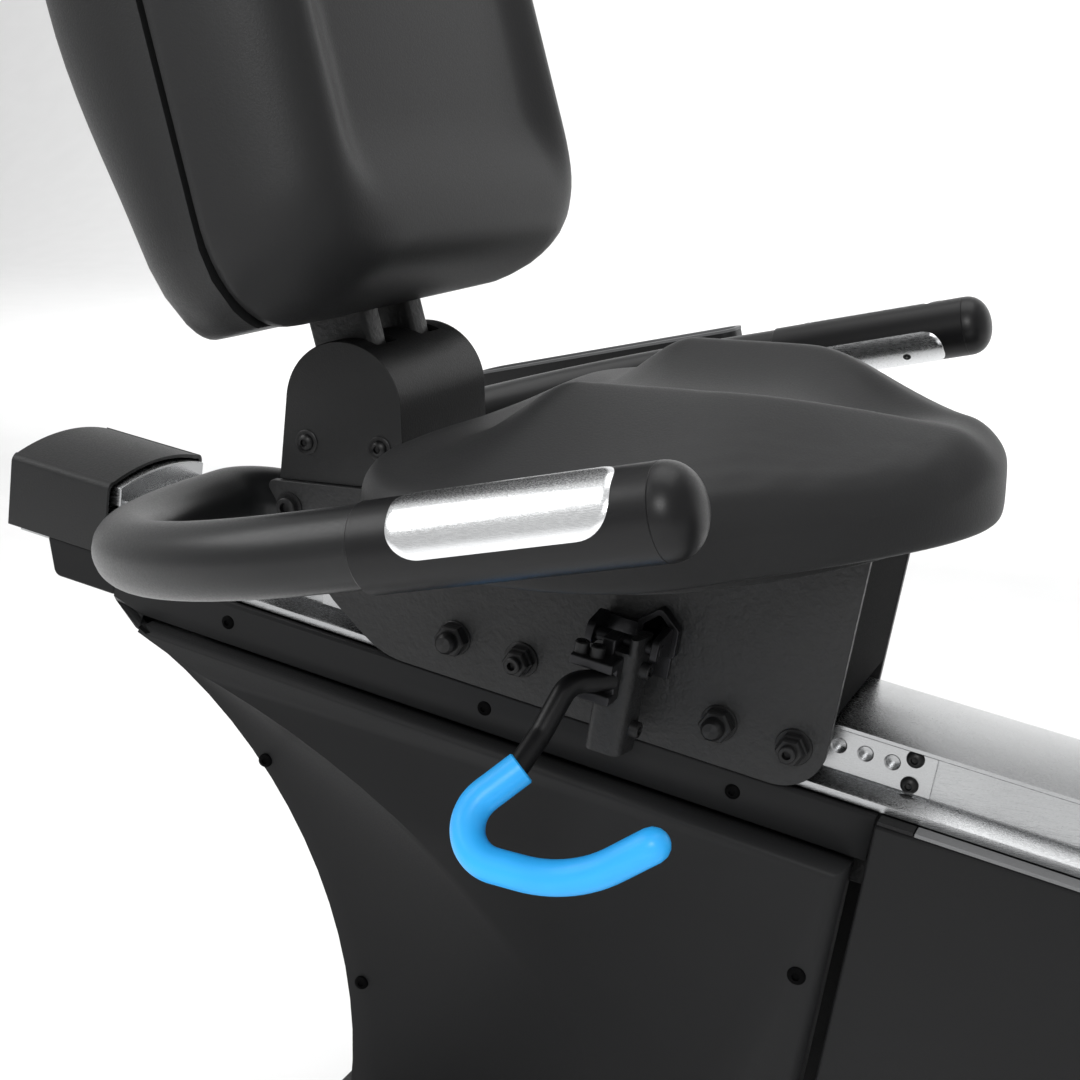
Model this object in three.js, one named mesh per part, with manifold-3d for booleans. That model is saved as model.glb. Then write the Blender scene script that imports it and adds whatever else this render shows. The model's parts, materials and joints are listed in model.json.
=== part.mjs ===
// Recumbent exercise bike: a seat carriage that slides on a sloping aluminium rail, a
// reclining backrest, a sprung release lever with its locking pin, and a belt-driven
// crank and generator inside a two-part shroud. Millimetres, +X to the front of the
// bike, +Y to the rider's left, +Z up. Most places are given from the grip point: the
// middle of the line between the two hand grips, GRIP_HEIGHT above the floor.
import * as THREE from 'three';
import { mergeVertices } from 'three/addons/utils/BufferGeometryUtils.js';
import Module from 'manifold-3d';

const wasm = await Module();
wasm.setup();

// ---------------------------------------------------------------- driving dimensions
const DEG = Math.PI / 180;
const GAP = 0.3;                    // clearance between pieces that touch or turn
const GRIP_HEIGHT = 610;            // grip point above the floor
const RAIL_SLOPE = 9.43 * DEG;      // the rail falls towards the front
const BACK_TILT = 15 * DEG;         // the backrest leans to the rear
const GRIP_PITCH = 12.44 * DEG;     // the handlebar plane rises towards the front
const GRIP_SPREAD = 305.7;          // grip centre line from the middle plane
const TUBE_R = 19.05;               // 38.1 mm handlebar tube
const STAB_HALF = 362;              // half the width of the front stabiliser

// rail section, measured along the rail's own upright axis from the grip point
const RAIL_REAR = -532;
const RAIL_FRONT = 520;
const RAIL_EDGE = { half: 43, w: -176.5 };
const RAIL_CROWN_W = -172.5;
const RAIL_LIP_W = -179.2;
const RAIL_WALL_HALF = 36;
const RAIL_GROOVE_W = -206;
const RAIL_FOOT = { half: 50, top: -211.4, bottom: -216.3 };
const RAIL_SKIN = 4;
const ROLLER = { r: 10.8, w: -190.4, inner: 40, outer: 50 };

// seat carriage
const PLATE_OUTER = 59.2;
const PLATE_INNER = 54.2;
const PLATE_TOP = -70;
const PAN_TOP = -68.3;
const PAN_BOTTOM = -74.5;
const CARRIAGE_FRONT_U = 37;
const AXLES_U = [-196, -151, -26, 18.6];
const ROLLERS_U = { rear: AXLES_U[0], front: AXLES_U[2] };
const INDEX_PITCH = 15.5;
const PIN_U = 70 - 10 * INDEX_PITCH;

// backrest pivot
const PIVOT = { x: -301, z: -22 };
const COVER_R = 40;
const COVER_HALF = 56;
const SEAM_X = 22;                  // shell meets cushion, in front of the uprights

// shrouds
const STRIP_HALF = 56.5;
const PANEL_HALF = 70;
const BAND_HALF = 47;
const MID_HALF = 62;
const HOUSING_HALF = 85;
const WALL = 3;
const SHROUD_TOP_W = -217.4;
const SEAM_U = 71;
const SHROUD_FLOOR = 95;

// drive
const CRANK = { x: 700, z: 340, arm: 170, angle: -20 * DEG };
const GENERATOR = { x: 930, z: 290 };
const PULLEY_R = 130;
const SMALL_PULLEY_R = 28;
const BELT_Y = -56;

// ---------------------------------------------------------------- solids and outlines
function toSolid(geometry) {
  const bare = geometry.clone();
  bare.deleteAttribute('normal');
  bare.deleteAttribute('uv');
  const merged = mergeVertices(bare, 1e-4);
  const triangles = withoutSlivers(merged.index.array);
  const corners = merged.attributes.position;
  const [a, b, c] = [new THREE.Vector3(), new THREE.Vector3(), new THREE.Vector3()];
  let volume = 0;
  for (let i = 0; i < triangles.length; i += 3) {
    a.fromBufferAttribute(corners, triangles[i]);
    b.fromBufferAttribute(corners, triangles[i + 1]);
    c.fromBufferAttribute(corners, triangles[i + 2]);
    volume += a.dot(b.cross(c));
  }
  if (volume < 0) triangles.reverse();
  return new wasm.Manifold(new wasm.Mesh({
    numProp: 3,
    vertProperties: new Float32Array(corners.array),
    triVerts: triangles,
  }));
}

// Triangles whose corners have merged into fewer than three points are left out.
function withoutSlivers(index) {
  const kept = [];
  for (let i = 0; i < index.length; i += 3) {
    const [a, b, c] = [index[i], index[i + 1], index[i + 2]];
    if (a !== b && b !== c && c !== a) kept.push(a, b, c);
  }
  return new Uint32Array(kept);
}

function toGeometry(solid) {
  const mesh = solid.getMesh();
  const geometry = new THREE.BufferGeometry();
  geometry.setAttribute('position', new THREE.BufferAttribute(mesh.vertProperties, 3));
  geometry.setIndex(new THREE.BufferAttribute(mesh.triVerts, 1));
  geometry.computeVertexNormals();
  return geometry;
}

const join = (...solids) => solids.reduce((sum, solid) => sum.add(solid));
const cut = (body, ...tools) => tools.reduce((left, tool) => left.subtract(tool), body);

// A closed outline from corners [x, y, radius]; each corner with a radius is an arc.
function outline(corners) {
  const shape = new THREE.Shape();
  const count = corners.length;
  corners.forEach(([x, y, radius = 0], index) => {
    const [px, py] = corners[(index + count - 1) % count];
    const [nx, ny] = corners[(index + 1) % count];
    const back = new THREE.Vector2(px - x, py - y).normalize();
    const ahead = new THREE.Vector2(nx - x, ny - y).normalize();
    const half = Math.acos(THREE.MathUtils.clamp(back.dot(ahead), -1, 1)) / 2;
    const reach = radius > 0 ? radius / Math.tan(half) : 0;
    const start = back.clone().multiplyScalar(reach).add(new THREE.Vector2(x, y));
    if (index === 0) shape.moveTo(start.x, start.y);
    else shape.lineTo(start.x, start.y);
    if (radius === 0) return;
    const middle = back.clone().add(ahead).normalize().multiplyScalar(radius / Math.sin(half));
    const centre = middle.add(new THREE.Vector2(x, y));
    const end = ahead.clone().multiplyScalar(reach).add(new THREE.Vector2(x, y));
    const from = Math.atan2(start.y - centre.y, start.x - centre.x);
    const to = Math.atan2(end.y - centre.y, end.x - centre.x);
    shape.absarc(centre.x, centre.y, radius, from, to, back.cross(ahead) > 0);
  });
  shape.closePath();
  return shape;
}

// Extrusions. side(): outline in X-Z between two Y values. across(): outline in Y-Z
// between two X values. flat(): outline in X-Y between two Z values.
function side(shape, y0, y1, segments = 3, bevel = null) {
  return extruded(shape, y0, y1, segments, bevel,
    new THREE.Matrix4().makeBasis(
      new THREE.Vector3(1, 0, 0), new THREE.Vector3(0, 0, 1), new THREE.Vector3(0, -1, 0)), -1);
}

function across(shape, x0, x1, segments = 3, bevel = null) {
  return extruded(shape, x0, x1, segments, bevel,
    new THREE.Matrix4().makeBasis(
      new THREE.Vector3(0, 1, 0), new THREE.Vector3(0, 0, 1), new THREE.Vector3(1, 0, 0)), 1);
}

function flat(shape, z0, z1, segments = 3, bevel = null) {
  return extruded(shape, z0, z1, segments, bevel, new THREE.Matrix4(), 1);
}

function extruded(shape, low, high, segments, bevel, basis, sign) {
  const thickness = bevel ? bevel.thickness : 0;
  const geometry = new THREE.ExtrudeGeometry(shape, {
    depth: high - low - 2 * thickness,
    curveSegments: segments,
    bevelEnabled: Boolean(bevel),
    bevelThickness: thickness,
    bevelSize: bevel ? bevel.size : 0,
    bevelOffset: bevel ? -bevel.size : 0,
    bevelSegments: bevel ? bevel.steps : 0,
  });
  const start = sign > 0 ? low + thickness : -(high - thickness);
  geometry.translate(0, 0, start);
  geometry.applyMatrix4(basis);
  return toSolid(geometry);
}

function box(x0, x1, y0, y1, z0, z1) {
  const geometry = new THREE.BoxGeometry(x1 - x0, y1 - y0, z1 - z0);
  geometry.translate((x0 + x1) / 2, (y0 + y1) / 2, (z0 + z1) / 2);
  return toSolid(geometry);
}

// A round bar along Y between y0 and y1, centred on (x, z).
function barY(x, z, radius, y0, y1, sides = 20) {
  const geometry = new THREE.CylinderGeometry(radius, radius, y1 - y0, sides);
  geometry.translate(x, (y0 + y1) / 2, z);
  return toSolid(geometry);
}

function barX(y, z, radius, x0, x1, sides = 18) {
  const geometry = new THREE.CylinderGeometry(radius, radius, x1 - x0, sides);
  geometry.rotateZ(Math.PI / 2);
  geometry.translate((x0 + x1) / 2, y, z);
  return toSolid(geometry);
}

function barZ(x, y, radius, z0, z1, sides = 16) {
  const geometry = new THREE.CylinderGeometry(radius, radius, z1 - z0, sides);
  geometry.rotateX(Math.PI / 2);
  geometry.translate(x, y, (z0 + z1) / 2);
  return toSolid(geometry);
}

// A turned piece: profile of [radius, along Y], placed on an axis through (x, z).
function turned(profile, x, z, sides = 24) {
  const points = profile.map(([radius, along]) => new THREE.Vector2(radius, along));
  const geometry = new THREE.LatheGeometry(points, sides);
  geometry.translate(x, 0, z);
  return toSolid(geometry);
}

// A path of straight runs with a round bend of its own radius at each inner corner.
function bentPath(corners) {
  const path = new THREE.CurvePath();
  let from = new THREE.Vector3(...corners[0].at);
  for (let index = 1; index < corners.length; index += 1) {
    const corner = new THREE.Vector3(...corners[index].at);
    if (index === corners.length - 1) {
      path.add(new THREE.LineCurve3(from, corner));
      break;
    }
    const next = new THREE.Vector3(...corners[index + 1].at);
    const back = from.clone().sub(corner).normalize();
    const ahead = next.clone().sub(corner).normalize();
    const reach = corners[index].radius / Math.tan(back.angleTo(ahead) / 2);
    const start = corner.clone().addScaledVector(back, reach);
    const end = corner.clone().addScaledVector(ahead, reach);
    path.add(new THREE.LineCurve3(from, start));
    const weight = 4 / 3 * Math.tan((Math.PI - back.angleTo(ahead)) / 4) * corners[index].radius;
    path.add(new THREE.CubicBezierCurve3(
      start,
      start.clone().addScaledVector(back, -weight),
      end.clone().addScaledVector(ahead, -weight),
      end));
    from = end;
  }
  return path;
}

function tube(path, radius, steps, sides = 12) {
  const ring = [];
  for (let i = 0; i < sides; i += 1) {
    const angle = 2 * Math.PI * i / sides;
    ring.push(new THREE.Vector2(radius * Math.cos(angle), radius * Math.sin(angle)));
  }
  return toSolid(new THREE.ExtrudeGeometry(new THREE.Shape(ring), {
    steps,
    extrudePath: path,
  }));
}

// The outline of a belt round two pulleys, or of the space inside it.
function beltOutline(big, bigR, small, smallR) {
  const dx = small.x - big.x;
  const dz = small.z - big.z;
  const heading = Math.atan2(dz, dx);
  const wrap = Math.acos((bigR - smallR) / Math.hypot(dx, dz));
  const shape = new THREE.Shape();
  shape.absarc(big.x, big.z, bigR, heading + wrap, heading - wrap + 2 * Math.PI, false);
  shape.absarc(small.x, small.z, smallR, heading - wrap, heading + wrap, false);
  shape.closePath();
  return shape;
}

// Rail coordinates (u along the rail, w square to it) to x and height from the grip point.
function fromRail(u, w) {
  return [
    u * Math.cos(RAIL_SLOPE) + w * Math.sin(RAIL_SLOPE),
    -u * Math.sin(RAIL_SLOPE) + w * Math.cos(RAIL_SLOPE),
  ];
}

function fromRailFloor(u, w) {
  const [x, z] = fromRail(u, w);
  return [x, z + GRIP_HEIGHT];
}

// ---------------------------------------------------------------- materials and scene
const finish = {
  blackPaint: () => new THREE.MeshStandardMaterial({ color: 0x202122, roughness: 0.55, metalness: 0.3 }),
  darkSteel: () => new THREE.MeshStandardMaterial({ color: 0x303234, roughness: 0.45, metalness: 0.8 }),
  brightSteel: () => new THREE.MeshStandardMaterial({ color: 0xc8cacc, roughness: 0.3, metalness: 1 }),
  aluminium: () => new THREE.MeshStandardMaterial({ color: 0xd4d6d8, roughness: 0.28, metalness: 1 }),
  shroud: () => new THREE.MeshStandardMaterial({ color: 0x232425, roughness: 0.6, metalness: 0 }),
  cushion: () => new THREE.MeshStandardMaterial({ color: 0x3c3d3e, roughness: 0.75, metalness: 0 }),
  shell: () => new THREE.MeshStandardMaterial({ color: 0x2a2b2c, roughness: 0.65, metalness: 0 }),
  rubber: () => new THREE.MeshStandardMaterial({ color: 0x161617, roughness: 0.8, metalness: 0 }),
  grip: () => new THREE.MeshStandardMaterial({ color: 0x1a1a1b, roughness: 0.45, metalness: 0 }),
  blueVinyl: () => new THREE.MeshStandardMaterial({ color: 0x2fa8f0, roughness: 0.4, metalness: 0 }),
  screen: () => new THREE.MeshStandardMaterial({ color: 0x0c1116, roughness: 0.1, metalness: 0 }),
  key: () => new THREE.MeshStandardMaterial({ color: 0x8a8d90, roughness: 0.5, metalness: 0 }),
};

function piece(name, solid, material) {
  const mesh = new THREE.Mesh(toGeometry(solid), material());
  mesh.name = name;
  return mesh;
}

const bike = new THREE.Group();
const fromGrip = new THREE.Group();
fromGrip.position.z = GRIP_HEIGHT;
const railFrame = new THREE.Group();
railFrame.position.z = GRIP_HEIGHT;
railFrame.rotation.y = RAIL_SLOPE;
const backFrame = new THREE.Group();
backFrame.position.set(PIVOT.x, 0, PIVOT.z + GRIP_HEIGHT);
backFrame.rotation.y = -BACK_TILT;
bike.add(fromGrip, railFrame, backFrame);

const SIDES = [['right', -1], ['left', 1]];

// The Y range from near to far on one side of the middle plane.
function span(sign, near, far) {
  return sign > 0 ? [near, far] : [-far, -near];
}

// ---------------------------------------------------------------- rail and its fittings
function railSection(halfWidth, edgeW, crownW) {
  const rise = crownW - edgeW;
  const radius = (halfWidth * halfWidth + rise * rise) / (2 * rise);
  return { radius, centre: crownW - radius, sweep: Math.asin(halfWidth / radius) };
}

function crownTo(shape, halfWidth, edgeW, crownW) {
  const { radius, centre, sweep } = railSection(halfWidth, edgeW, crownW);
  shape.absarc(0, centre, radius, Math.PI / 2 - sweep, Math.PI / 2 + sweep, false);
}

function seatRail() {
  const outer = new THREE.Shape();
  outer.moveTo(-RAIL_FOOT.half, RAIL_FOOT.bottom);
  outer.lineTo(RAIL_FOOT.half, RAIL_FOOT.bottom);
  outer.lineTo(RAIL_FOOT.half, RAIL_FOOT.top);
  outer.lineTo(RAIL_WALL_HALF, RAIL_GROOVE_W);
  outer.lineTo(RAIL_WALL_HALF, RAIL_LIP_W);
  outer.lineTo(RAIL_EDGE.half, RAIL_LIP_W);
  crownTo(outer, RAIL_EDGE.half, RAIL_EDGE.w, RAIL_CROWN_W);
  outer.lineTo(-RAIL_EDGE.half, RAIL_LIP_W);
  outer.lineTo(-RAIL_WALL_HALF, RAIL_LIP_W);
  outer.lineTo(-RAIL_WALL_HALF, RAIL_GROOVE_W);
  outer.lineTo(-RAIL_FOOT.half, RAIL_FOOT.top);
  outer.closePath();
  const bore = RAIL_WALL_HALF - RAIL_SKIN;
  const hollow = box(RAIL_REAR - 1, RAIL_FRONT + 1, -bore, bore,
    RAIL_FOOT.bottom + RAIL_SKIN, RAIL_LIP_W);
  const pinSlot = box(-280, 80, -RAIL_WALL_HALF - 1, -bore + 1,
    ROLLER.w - 5.5, ROLLER.w + 5.5);
  return cut(across(outer, RAIL_REAR, RAIL_FRONT), hollow, pinSlot);
}

function indexPlate() {
  const outer = RAIL_WALL_HALF + GAP;
  const plate = box(-300, 94, -outer - 2, -outer, -205, -181);
  const holes = [];
  for (let step = 0; step < 23; step += 1) {
    holes.push(barY(70 - step * INDEX_PITCH, ROLLER.w, 4, -outer - 3, -outer + 1, 8));
  }
  return cut(plate, ...holes);
}

function railEndCap() {
  const rear = -541;
  const front = -461;
  const half = 52.5;
  const low = -214;
  const section = (inset, base) => {
    const shape = new THREE.Shape();
    shape.moveTo(-half + inset, base);
    shape.lineTo(half - inset, base);
    crownTo(shape, half - inset, -170, -159 - inset);
    shape.closePath();
    return shape;
  };
  return cut(across(section(0, low), rear, front), across(section(2.1, low - 5), rear + WALL, front + 1));
}

function railEndBracket() {
  const profile = outline([
    [-503, RAIL_FOOT.bottom - GAP], [-495, -238.5, 4], [-452, -238.5], [-452, RAIL_FOOT.bottom - GAP],
  ]);
  return side(profile, -52, 52);
}

railFrame.add(
  piece('seat_rail', seatRail(), finish.aluminium),
  piece('index_plate', indexPlate(), finish.brightSteel),
  piece('rail_end_cap', railEndCap(), finish.shroud),
  piece('rail_end_bracket', railEndBracket(), finish.shroud),
);

// ---------------------------------------------------------------- base frame
const BEAM = { half: 25, low: 62.3, tongue: 90, high: 112 };
const POST = { rear: 675, front: 725, top: 560 };
const AXLE_R = 10;

function mainFrame() {
  const spineTop = RAIL_FOOT.bottom - GAP;
  const spine = outline([
    fromRailFloor(-385, spineTop),
    fromRailFloor(-385, -246),
    fromRailFloor(-330, -276),
    fromRailFloor(735, -276),
    fromRailFloor(735, spineTop),
  ]);
  const solid = join(
    side(spine, -BEAM.half, BEAM.half),
    box(-350, 960, -BEAM.half, BEAM.half, BEAM.low, BEAM.tongue),
    box(-290, 900, -BEAM.half, BEAM.half, BEAM.low, BEAM.high),
    box(-290, -230, -BEAM.half, BEAM.half, BEAM.high - 1, 400),
    box(POST.rear, POST.front, -BEAM.half, BEAM.half, BEAM.high - 1, POST.top),
    barY(CRANK.x, CRANK.z, 28, -40, 40),
    box(POST.front - 1, 830, -BEAM.half, BEAM.half, 265, 310),
    box(780, 830, 0, 66, 265, 310),
    box(780, 965, 58, 66, 250, 325),
  );
  return cut(solid, barY(CRANK.x, CRANK.z, AXLE_R + GAP, -41, 41));
}

const FOOT_STEM_R = 6;
const FEET = [
  ['rear', -330, 262],
  ['front', 932, 312],
];

function stabiliser(x, half) {
  const profile = outline([[x - 34, 22, 6], [x + 34, 22, 6], [x + 34, 62, 10], [x - 34, 62, 10]]);
  return side(profile, -half, half, 2);
}

function footHoles(x, y) {
  return SIDES.map(([, sign]) => barZ(x, sign * y, FOOT_STEM_R + GAP, 20, 47));
}

function rearStabiliser() {
  const [, x, y] = FEET[0];
  return cut(stabiliser(x, 300), ...footHoles(x, y));
}

const WHEEL = { x: 1002, z: 46, r: 32, half: 12, y: 230, pin: 6 };

function frontStabiliser() {
  const [, x, y] = FEET[1];
  const forks = SIDES.flatMap(([, sign]) => {
    const middle = sign * WHEEL.y;
    const tab = outline([[960, 26], [1008, 34, 8], [1014, 56, 8], [960, 60]]);
    const clear = WHEEL.half + 2;
    return [
      side(tab, middle - clear - 5, middle - clear),
      side(tab, middle + clear, middle + clear + 5),
      barY(WHEEL.x, WHEEL.z, WHEEL.pin, middle - clear - 1, middle + clear + 1, 14),
    ];
  });
  return cut(join(stabiliser(x, STAB_HALF), ...forks), ...footHoles(x, y));
}

function levellingFoot(x, y) {
  const points = [[0, 0], [20, 0], [22, 2], [22, 8], [9, 13], [FOOT_STEM_R, 13], [FOOT_STEM_R, 45], [0, 45]];
  const geometry = new THREE.LatheGeometry(points.map(([r, z]) => new THREE.Vector2(r, z)), 16);
  geometry.rotateX(Math.PI / 2);
  geometry.translate(x, y, 0);
  return toSolid(geometry);
}

function transportWheel(sign) {
  const middle = sign * WHEEL.y;
  const rim = WHEEL.r;
  const bore = WHEEL.pin + GAP;
  return turned([
    [bore, middle - WHEEL.half], [rim - 3, middle - WHEEL.half], [rim, middle - WHEEL.half + 4],
    [rim, middle + WHEEL.half - 4], [rim - 3, middle + WHEEL.half], [bore, middle + WHEEL.half],
    [bore, middle - WHEEL.half],
  ], WHEEL.x, WHEEL.z, 20);
}

bike.add(
  piece('main_frame', mainFrame(), finish.blackPaint),
  piece('rear_stabilizer', rearStabiliser(), finish.blackPaint),
  piece('front_stabilizer', frontStabiliser(), finish.blackPaint),
);
for (const [place, x, y] of FEET) {
  for (const [name, sign] of SIDES) {
    bike.add(piece(`levelling_foot_${place}_${name}`, levellingFoot(x, sign * y), finish.rubber));
  }
}
for (const [name, sign] of SIDES) {
  bike.add(piece(`transport_wheel_${name}`, transportWheel(sign), finish.rubber));
}

// ---------------------------------------------------------------- shrouds
// A shroud half is the join of extruded outlines, each with its own half width, less the
// same outlines drawn a wall thinner. It is open along the middle plane and at the floor.
function arcPoints(centreX, centreZ, radius, fromDeg, toDeg, count) {
  const points = [];
  for (let i = 0; i <= count; i += 1) {
    const angle = (fromDeg + (toDeg - fromDeg) * i / count) * DEG;
    points.push([centreX + radius * Math.cos(angle), centreZ + radius * Math.sin(angle)]);
  }
  return points;
}

function halfShell(layers, sign) {
  const outerParts = [];
  const innerParts = [];
  for (const { shape, inner, half, bevel } of layers) {
    const [y0, y1] = sign > 0 ? [GAP / 2, half] : [-half, -GAP / 2];
    const [i0, i1] = sign > 0 ? [-1, half - WALL] : [-half + WALL, 1];
    const round = bevel ? { thickness: bevel, size: bevel, steps: 2 } : null;
    // a bevelled layer reaches past the middle plane before it is trimmed there
    const low = sign > 0 && bevel ? y0 - 2 * bevel : y0;
    const high = sign < 0 && bevel ? y1 + 2 * bevel : y1;
    outerParts.push(side(shape, low, high, 3, round));
    innerParts.push(side(inner, i0, i1));
  }
  const keep = sign > 0 ? box(-900, 1300, GAP / 2, 200, 0, 900) : box(-900, 1300, -200, -GAP / 2, 0, 900);
  return cut(join(...outerParts).intersect(keep), join(...innerParts));
}

// The rear shroud's hollow back edge and the crease of its side panel are both arcs that
// start near the tip under the rail's end and fall towards the floor.
const REAR_ARC = { x: -612, z: 160, r: 300 };
const CREASE_ARC = { x: -607, z: -156, r: 600 };

const OPEN = 8;                      // how far the inner cut runs past an open edge

function rearShroudLayers() {
  const floorAngle = (arc, radius, z) => Math.asin((z - arc.z) / radius) / DEG;
  const edges = (inset) => {
    const reach = inset > 0 ? OPEN : 0;
    return { seam: SEAM_U + reach, top: SHROUD_TOP_W + reach, base: SHROUD_FLOOR - reach, foot: -13 + reach };
  };
  const band = (inset) => {
    const { seam, top, base, foot } = edges(inset);
    const radius = REAR_ARC.r + inset;
    return outline([
      fromRailFloor(seam, top),
      fromRailFloor(-452 + 2.4 * inset, top),
      ...arcPoints(REAR_ARC.x, REAR_ARC.z, radius, 64, floorAngle(REAR_ARC, radius, base), 10),
      [foot, base],
    ]);
  };
  const panel = (inset) => {
    const { seam, base, foot } = edges(inset);
    const radius = CREASE_ARC.r + inset;
    return outline([
      fromRailFloor(seam, -250 - inset),
      fromRailFloor(-392 + 3 * inset, -250 - inset),
      ...arcPoints(CREASE_ARC.x, CREASE_ARC.z, radius, 69, floorAngle(CREASE_ARC, radius, base), 8),
      [foot, base],
    ]);
  };
  const strip = (inset) => {
    const { seam, top } = edges(inset);
    return outline([
      fromRailFloor(seam, top),
      fromRailFloor(-448 + 2 * inset, top),
      fromRailFloor(-440 + 4 * inset, -233),
      fromRailFloor(-400 + inset, -247),
      fromRailFloor(seam, -247),
    ]);
  };
  return [
    { shape: band(0), inner: band(WALL), half: BAND_HALF },
    { shape: strip(0), inner: strip(WALL), half: STRIP_HALF },
    { shape: panel(0), inner: panel(WALL), half: PANEL_HALF, bevel: 5 },
  ];
}

// Front of the drive housing and the low panel that runs back under the rail.
function frontShroudLayers() {
  const low = (inset) => {
    const reach = inset > 0 ? OPEN : 0;
    return outline([
      fromRailFloor(SEAM_U + 1 - reach, SHROUD_TOP_W - 2 + reach),
      [-12 - reach, SHROUD_FLOOR - reach],
      [560, SHROUD_FLOOR - reach],
      [560, 310],
      fromRailFloor(470, SHROUD_TOP_W - 2 + reach),
    ]);
  };
  const housing = (inset) => {
    const base = inset > 0 ? SHROUD_FLOOR - OPEN : SHROUD_FLOOR;
    return outline([
      [405 + inset, base],
      [975 - inset, base, inset > 0 ? 0 : 40],
      [1066 - inset, 250, 120],
      [1040 - inset, 430, 130],
      [880 - inset, 600 - inset, 90],
      [700, 655 - inset, 60],
      [560 + inset, 600 - inset, 90],
      [405 + inset, 385, 60],
    ]);
  };
  return [
    { shape: low(0), inner: low(WALL), half: MID_HALF },
    { shape: housing(0), inner: housing(WALL), half: HOUSING_HALF, bevel: 10 },
  ];
}

function railOpening() {
  const mouth = outline([
    fromRailFloor(300, -168), fromRailFloor(300, -217), fromRailFloor(560, -217), fromRailFloor(560, -168),
  ]);
  return side(mouth, -RAIL_FOOT.half - 3, RAIL_FOOT.half + 3);
}

function frontShroud(sign) {
  return cut(
    halfShell(frontShroudLayers(), sign),
    railOpening(),
    barY(CRANK.x, CRANK.z, 16, -HOUSING_HALF - 1, HOUSING_HALF + 1),
    box(650, 760, -48, 48, 580, 700),
  );
}

for (const [name, sign] of SIDES) {
  bike.add(
    piece(`rear_shroud_${name}`, halfShell(rearShroudLayers(), sign), finish.shroud),
    piece(`front_shroud_${name}`, frontShroud(sign), finish.shroud),
  );
}

// ---------------------------------------------------------------- crank, belt, generator
// The crank axle with its pulley pressed on: one turned piece from end to end.
function crankAxle() {
  const hub = 24;
  const web = 3;
  const rim = PULLEY_R - 12;
  return turned([
    [0, -108], [AXLE_R, -108], [AXLE_R, BELT_Y - 6], [hub, BELT_Y - 6], [hub, BELT_Y - web],
    [rim, BELT_Y - web], [rim, BELT_Y - 6], [PULLEY_R, BELT_Y - 6], [PULLEY_R, BELT_Y + 6],
    [rim, BELT_Y + 6], [rim, BELT_Y + web], [hub, BELT_Y + web], [hub, BELT_Y + 12],
    [AXLE_R, BELT_Y + 12], [AXLE_R, 108], [0, 108],
  ], CRANK.x, CRANK.z, 24);
}

function pedalCentre(sign) {
  return {
    x: CRANK.x - sign * CRANK.arm * Math.cos(CRANK.angle),
    z: CRANK.z - sign * CRANK.arm * Math.sin(CRANK.angle),
  };
}

const SPINDLE_R = 7;

// Drawn along X from the crank axle; the mesh is then turned to where the arm points.
function crankArm(sign) {
  const bar = outline([
    [0, -20, 6], [0, 20, 6], [CRANK.arm, 13, 4], [CRANK.arm, -13, 4],
  ]);
  const faces = span(sign, 94, 110);
  return cut(
    join(
      side(bar, ...faces, 1),
      barY(0, 0, 21, ...faces),
      barY(CRANK.arm, 0, 15, ...faces),
      barY(CRANK.arm, 0, SPINDLE_R, ...span(sign, 108, 216), 14),
    ),
    barY(0, 0, AXLE_R + GAP, ...span(sign, 93, 108.5)),
  );
}

function pedal(sign) {
  const { x, z } = pedalCentre(sign);
  const [y0, y1] = span(sign, 122, 220);
  const body = outline([[x - 50, z - 13, 5], [x + 50, z - 13, 5], [x + 50, z + 13, 5], [x - 50, z + 13, 5]]);
  return cut(side(body, y0, y1, 1), barY(x, z, SPINDLE_R + GAP, y0 - 1, y1 + 1, 14));
}

function driveBelt() {
  const outer = beltOutline(CRANK, PULLEY_R + 4, GENERATOR, SMALL_PULLEY_R + 4);
  const inner = beltOutline(CRANK, PULLEY_R + 1, GENERATOR, SMALL_PULLEY_R + 1);
  return cut(side(outer, BELT_Y - 5, BELT_Y + 5, 10), side(inner, BELT_Y - 6, BELT_Y + 6, 10));
}

const GENERATOR_PIN_R = 8;

function generatorRotor() {
  const bore = GENERATOR_PIN_R + GAP;
  return turned([
    [bore, BELT_Y - 6], [SMALL_PULLEY_R, BELT_Y - 6], [SMALL_PULLEY_R, BELT_Y + 6], [18, BELT_Y + 6],
    [18, -36], [86, -36], [92, -30], [92, 26], [86, 32], [bore, 32], [bore, BELT_Y - 6],
  ], GENERATOR.x, GENERATOR.z, 20);
}

function generatorStator() {
  return join(
    barY(GENERATOR.x, GENERATOR.z, GENERATOR_PIN_R, BELT_Y - 10, 40),
    barY(GENERATOR.x, GENERATOR.z, 70, 36, 58 - GAP, 24),
  );
}

bike.add(
  piece('crank_axle', crankAxle(), finish.brightSteel),
  piece('drive_belt', driveBelt(), finish.rubber),
  piece('generator_rotor', generatorRotor(), finish.darkSteel),
  piece('generator_stator', generatorStator(), finish.aluminium),
);
for (const [name, sign] of SIDES) {
  const arm = piece(`crank_arm_${name}`, crankArm(sign), finish.blackPaint);
  arm.position.set(CRANK.x, 0, CRANK.z);
  arm.rotation.y = -CRANK.angle + (sign > 0 ? Math.PI : 0);
  bike.add(arm, piece(`pedal_${name}`, pedal(sign), finish.rubber));
}

// ---------------------------------------------------------------- mast and console
const CONSOLE_TILT = 30 * DEG;
const CONSOLE = { x: 628, z: 1130, half: 180, high: 115, deep: 46 };
const BAR = { x: 690, z: 985, r: 15, half: 205, reach: 130, rise: 26 };

function consoleMast() {
  const path = bentPath([
    { at: [700, 0, POST.top + GAP] },
    { at: [700, 0, 690], radius: 300 },
    { at: [736, 0, 1044.5], radius: 60 },
    { at: [658.1, 0, 1089.5] },
  ]);
  const column = tube(path, 24, 16, 12);
  const saddle = box(BAR.x - 22, 730, -26, 26, BAR.z - 24, BAR.z + 24);
  return cut(join(column, saddle), barY(BAR.x, BAR.z, BAR.r + 1, -40, 40, 12));
}

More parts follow.
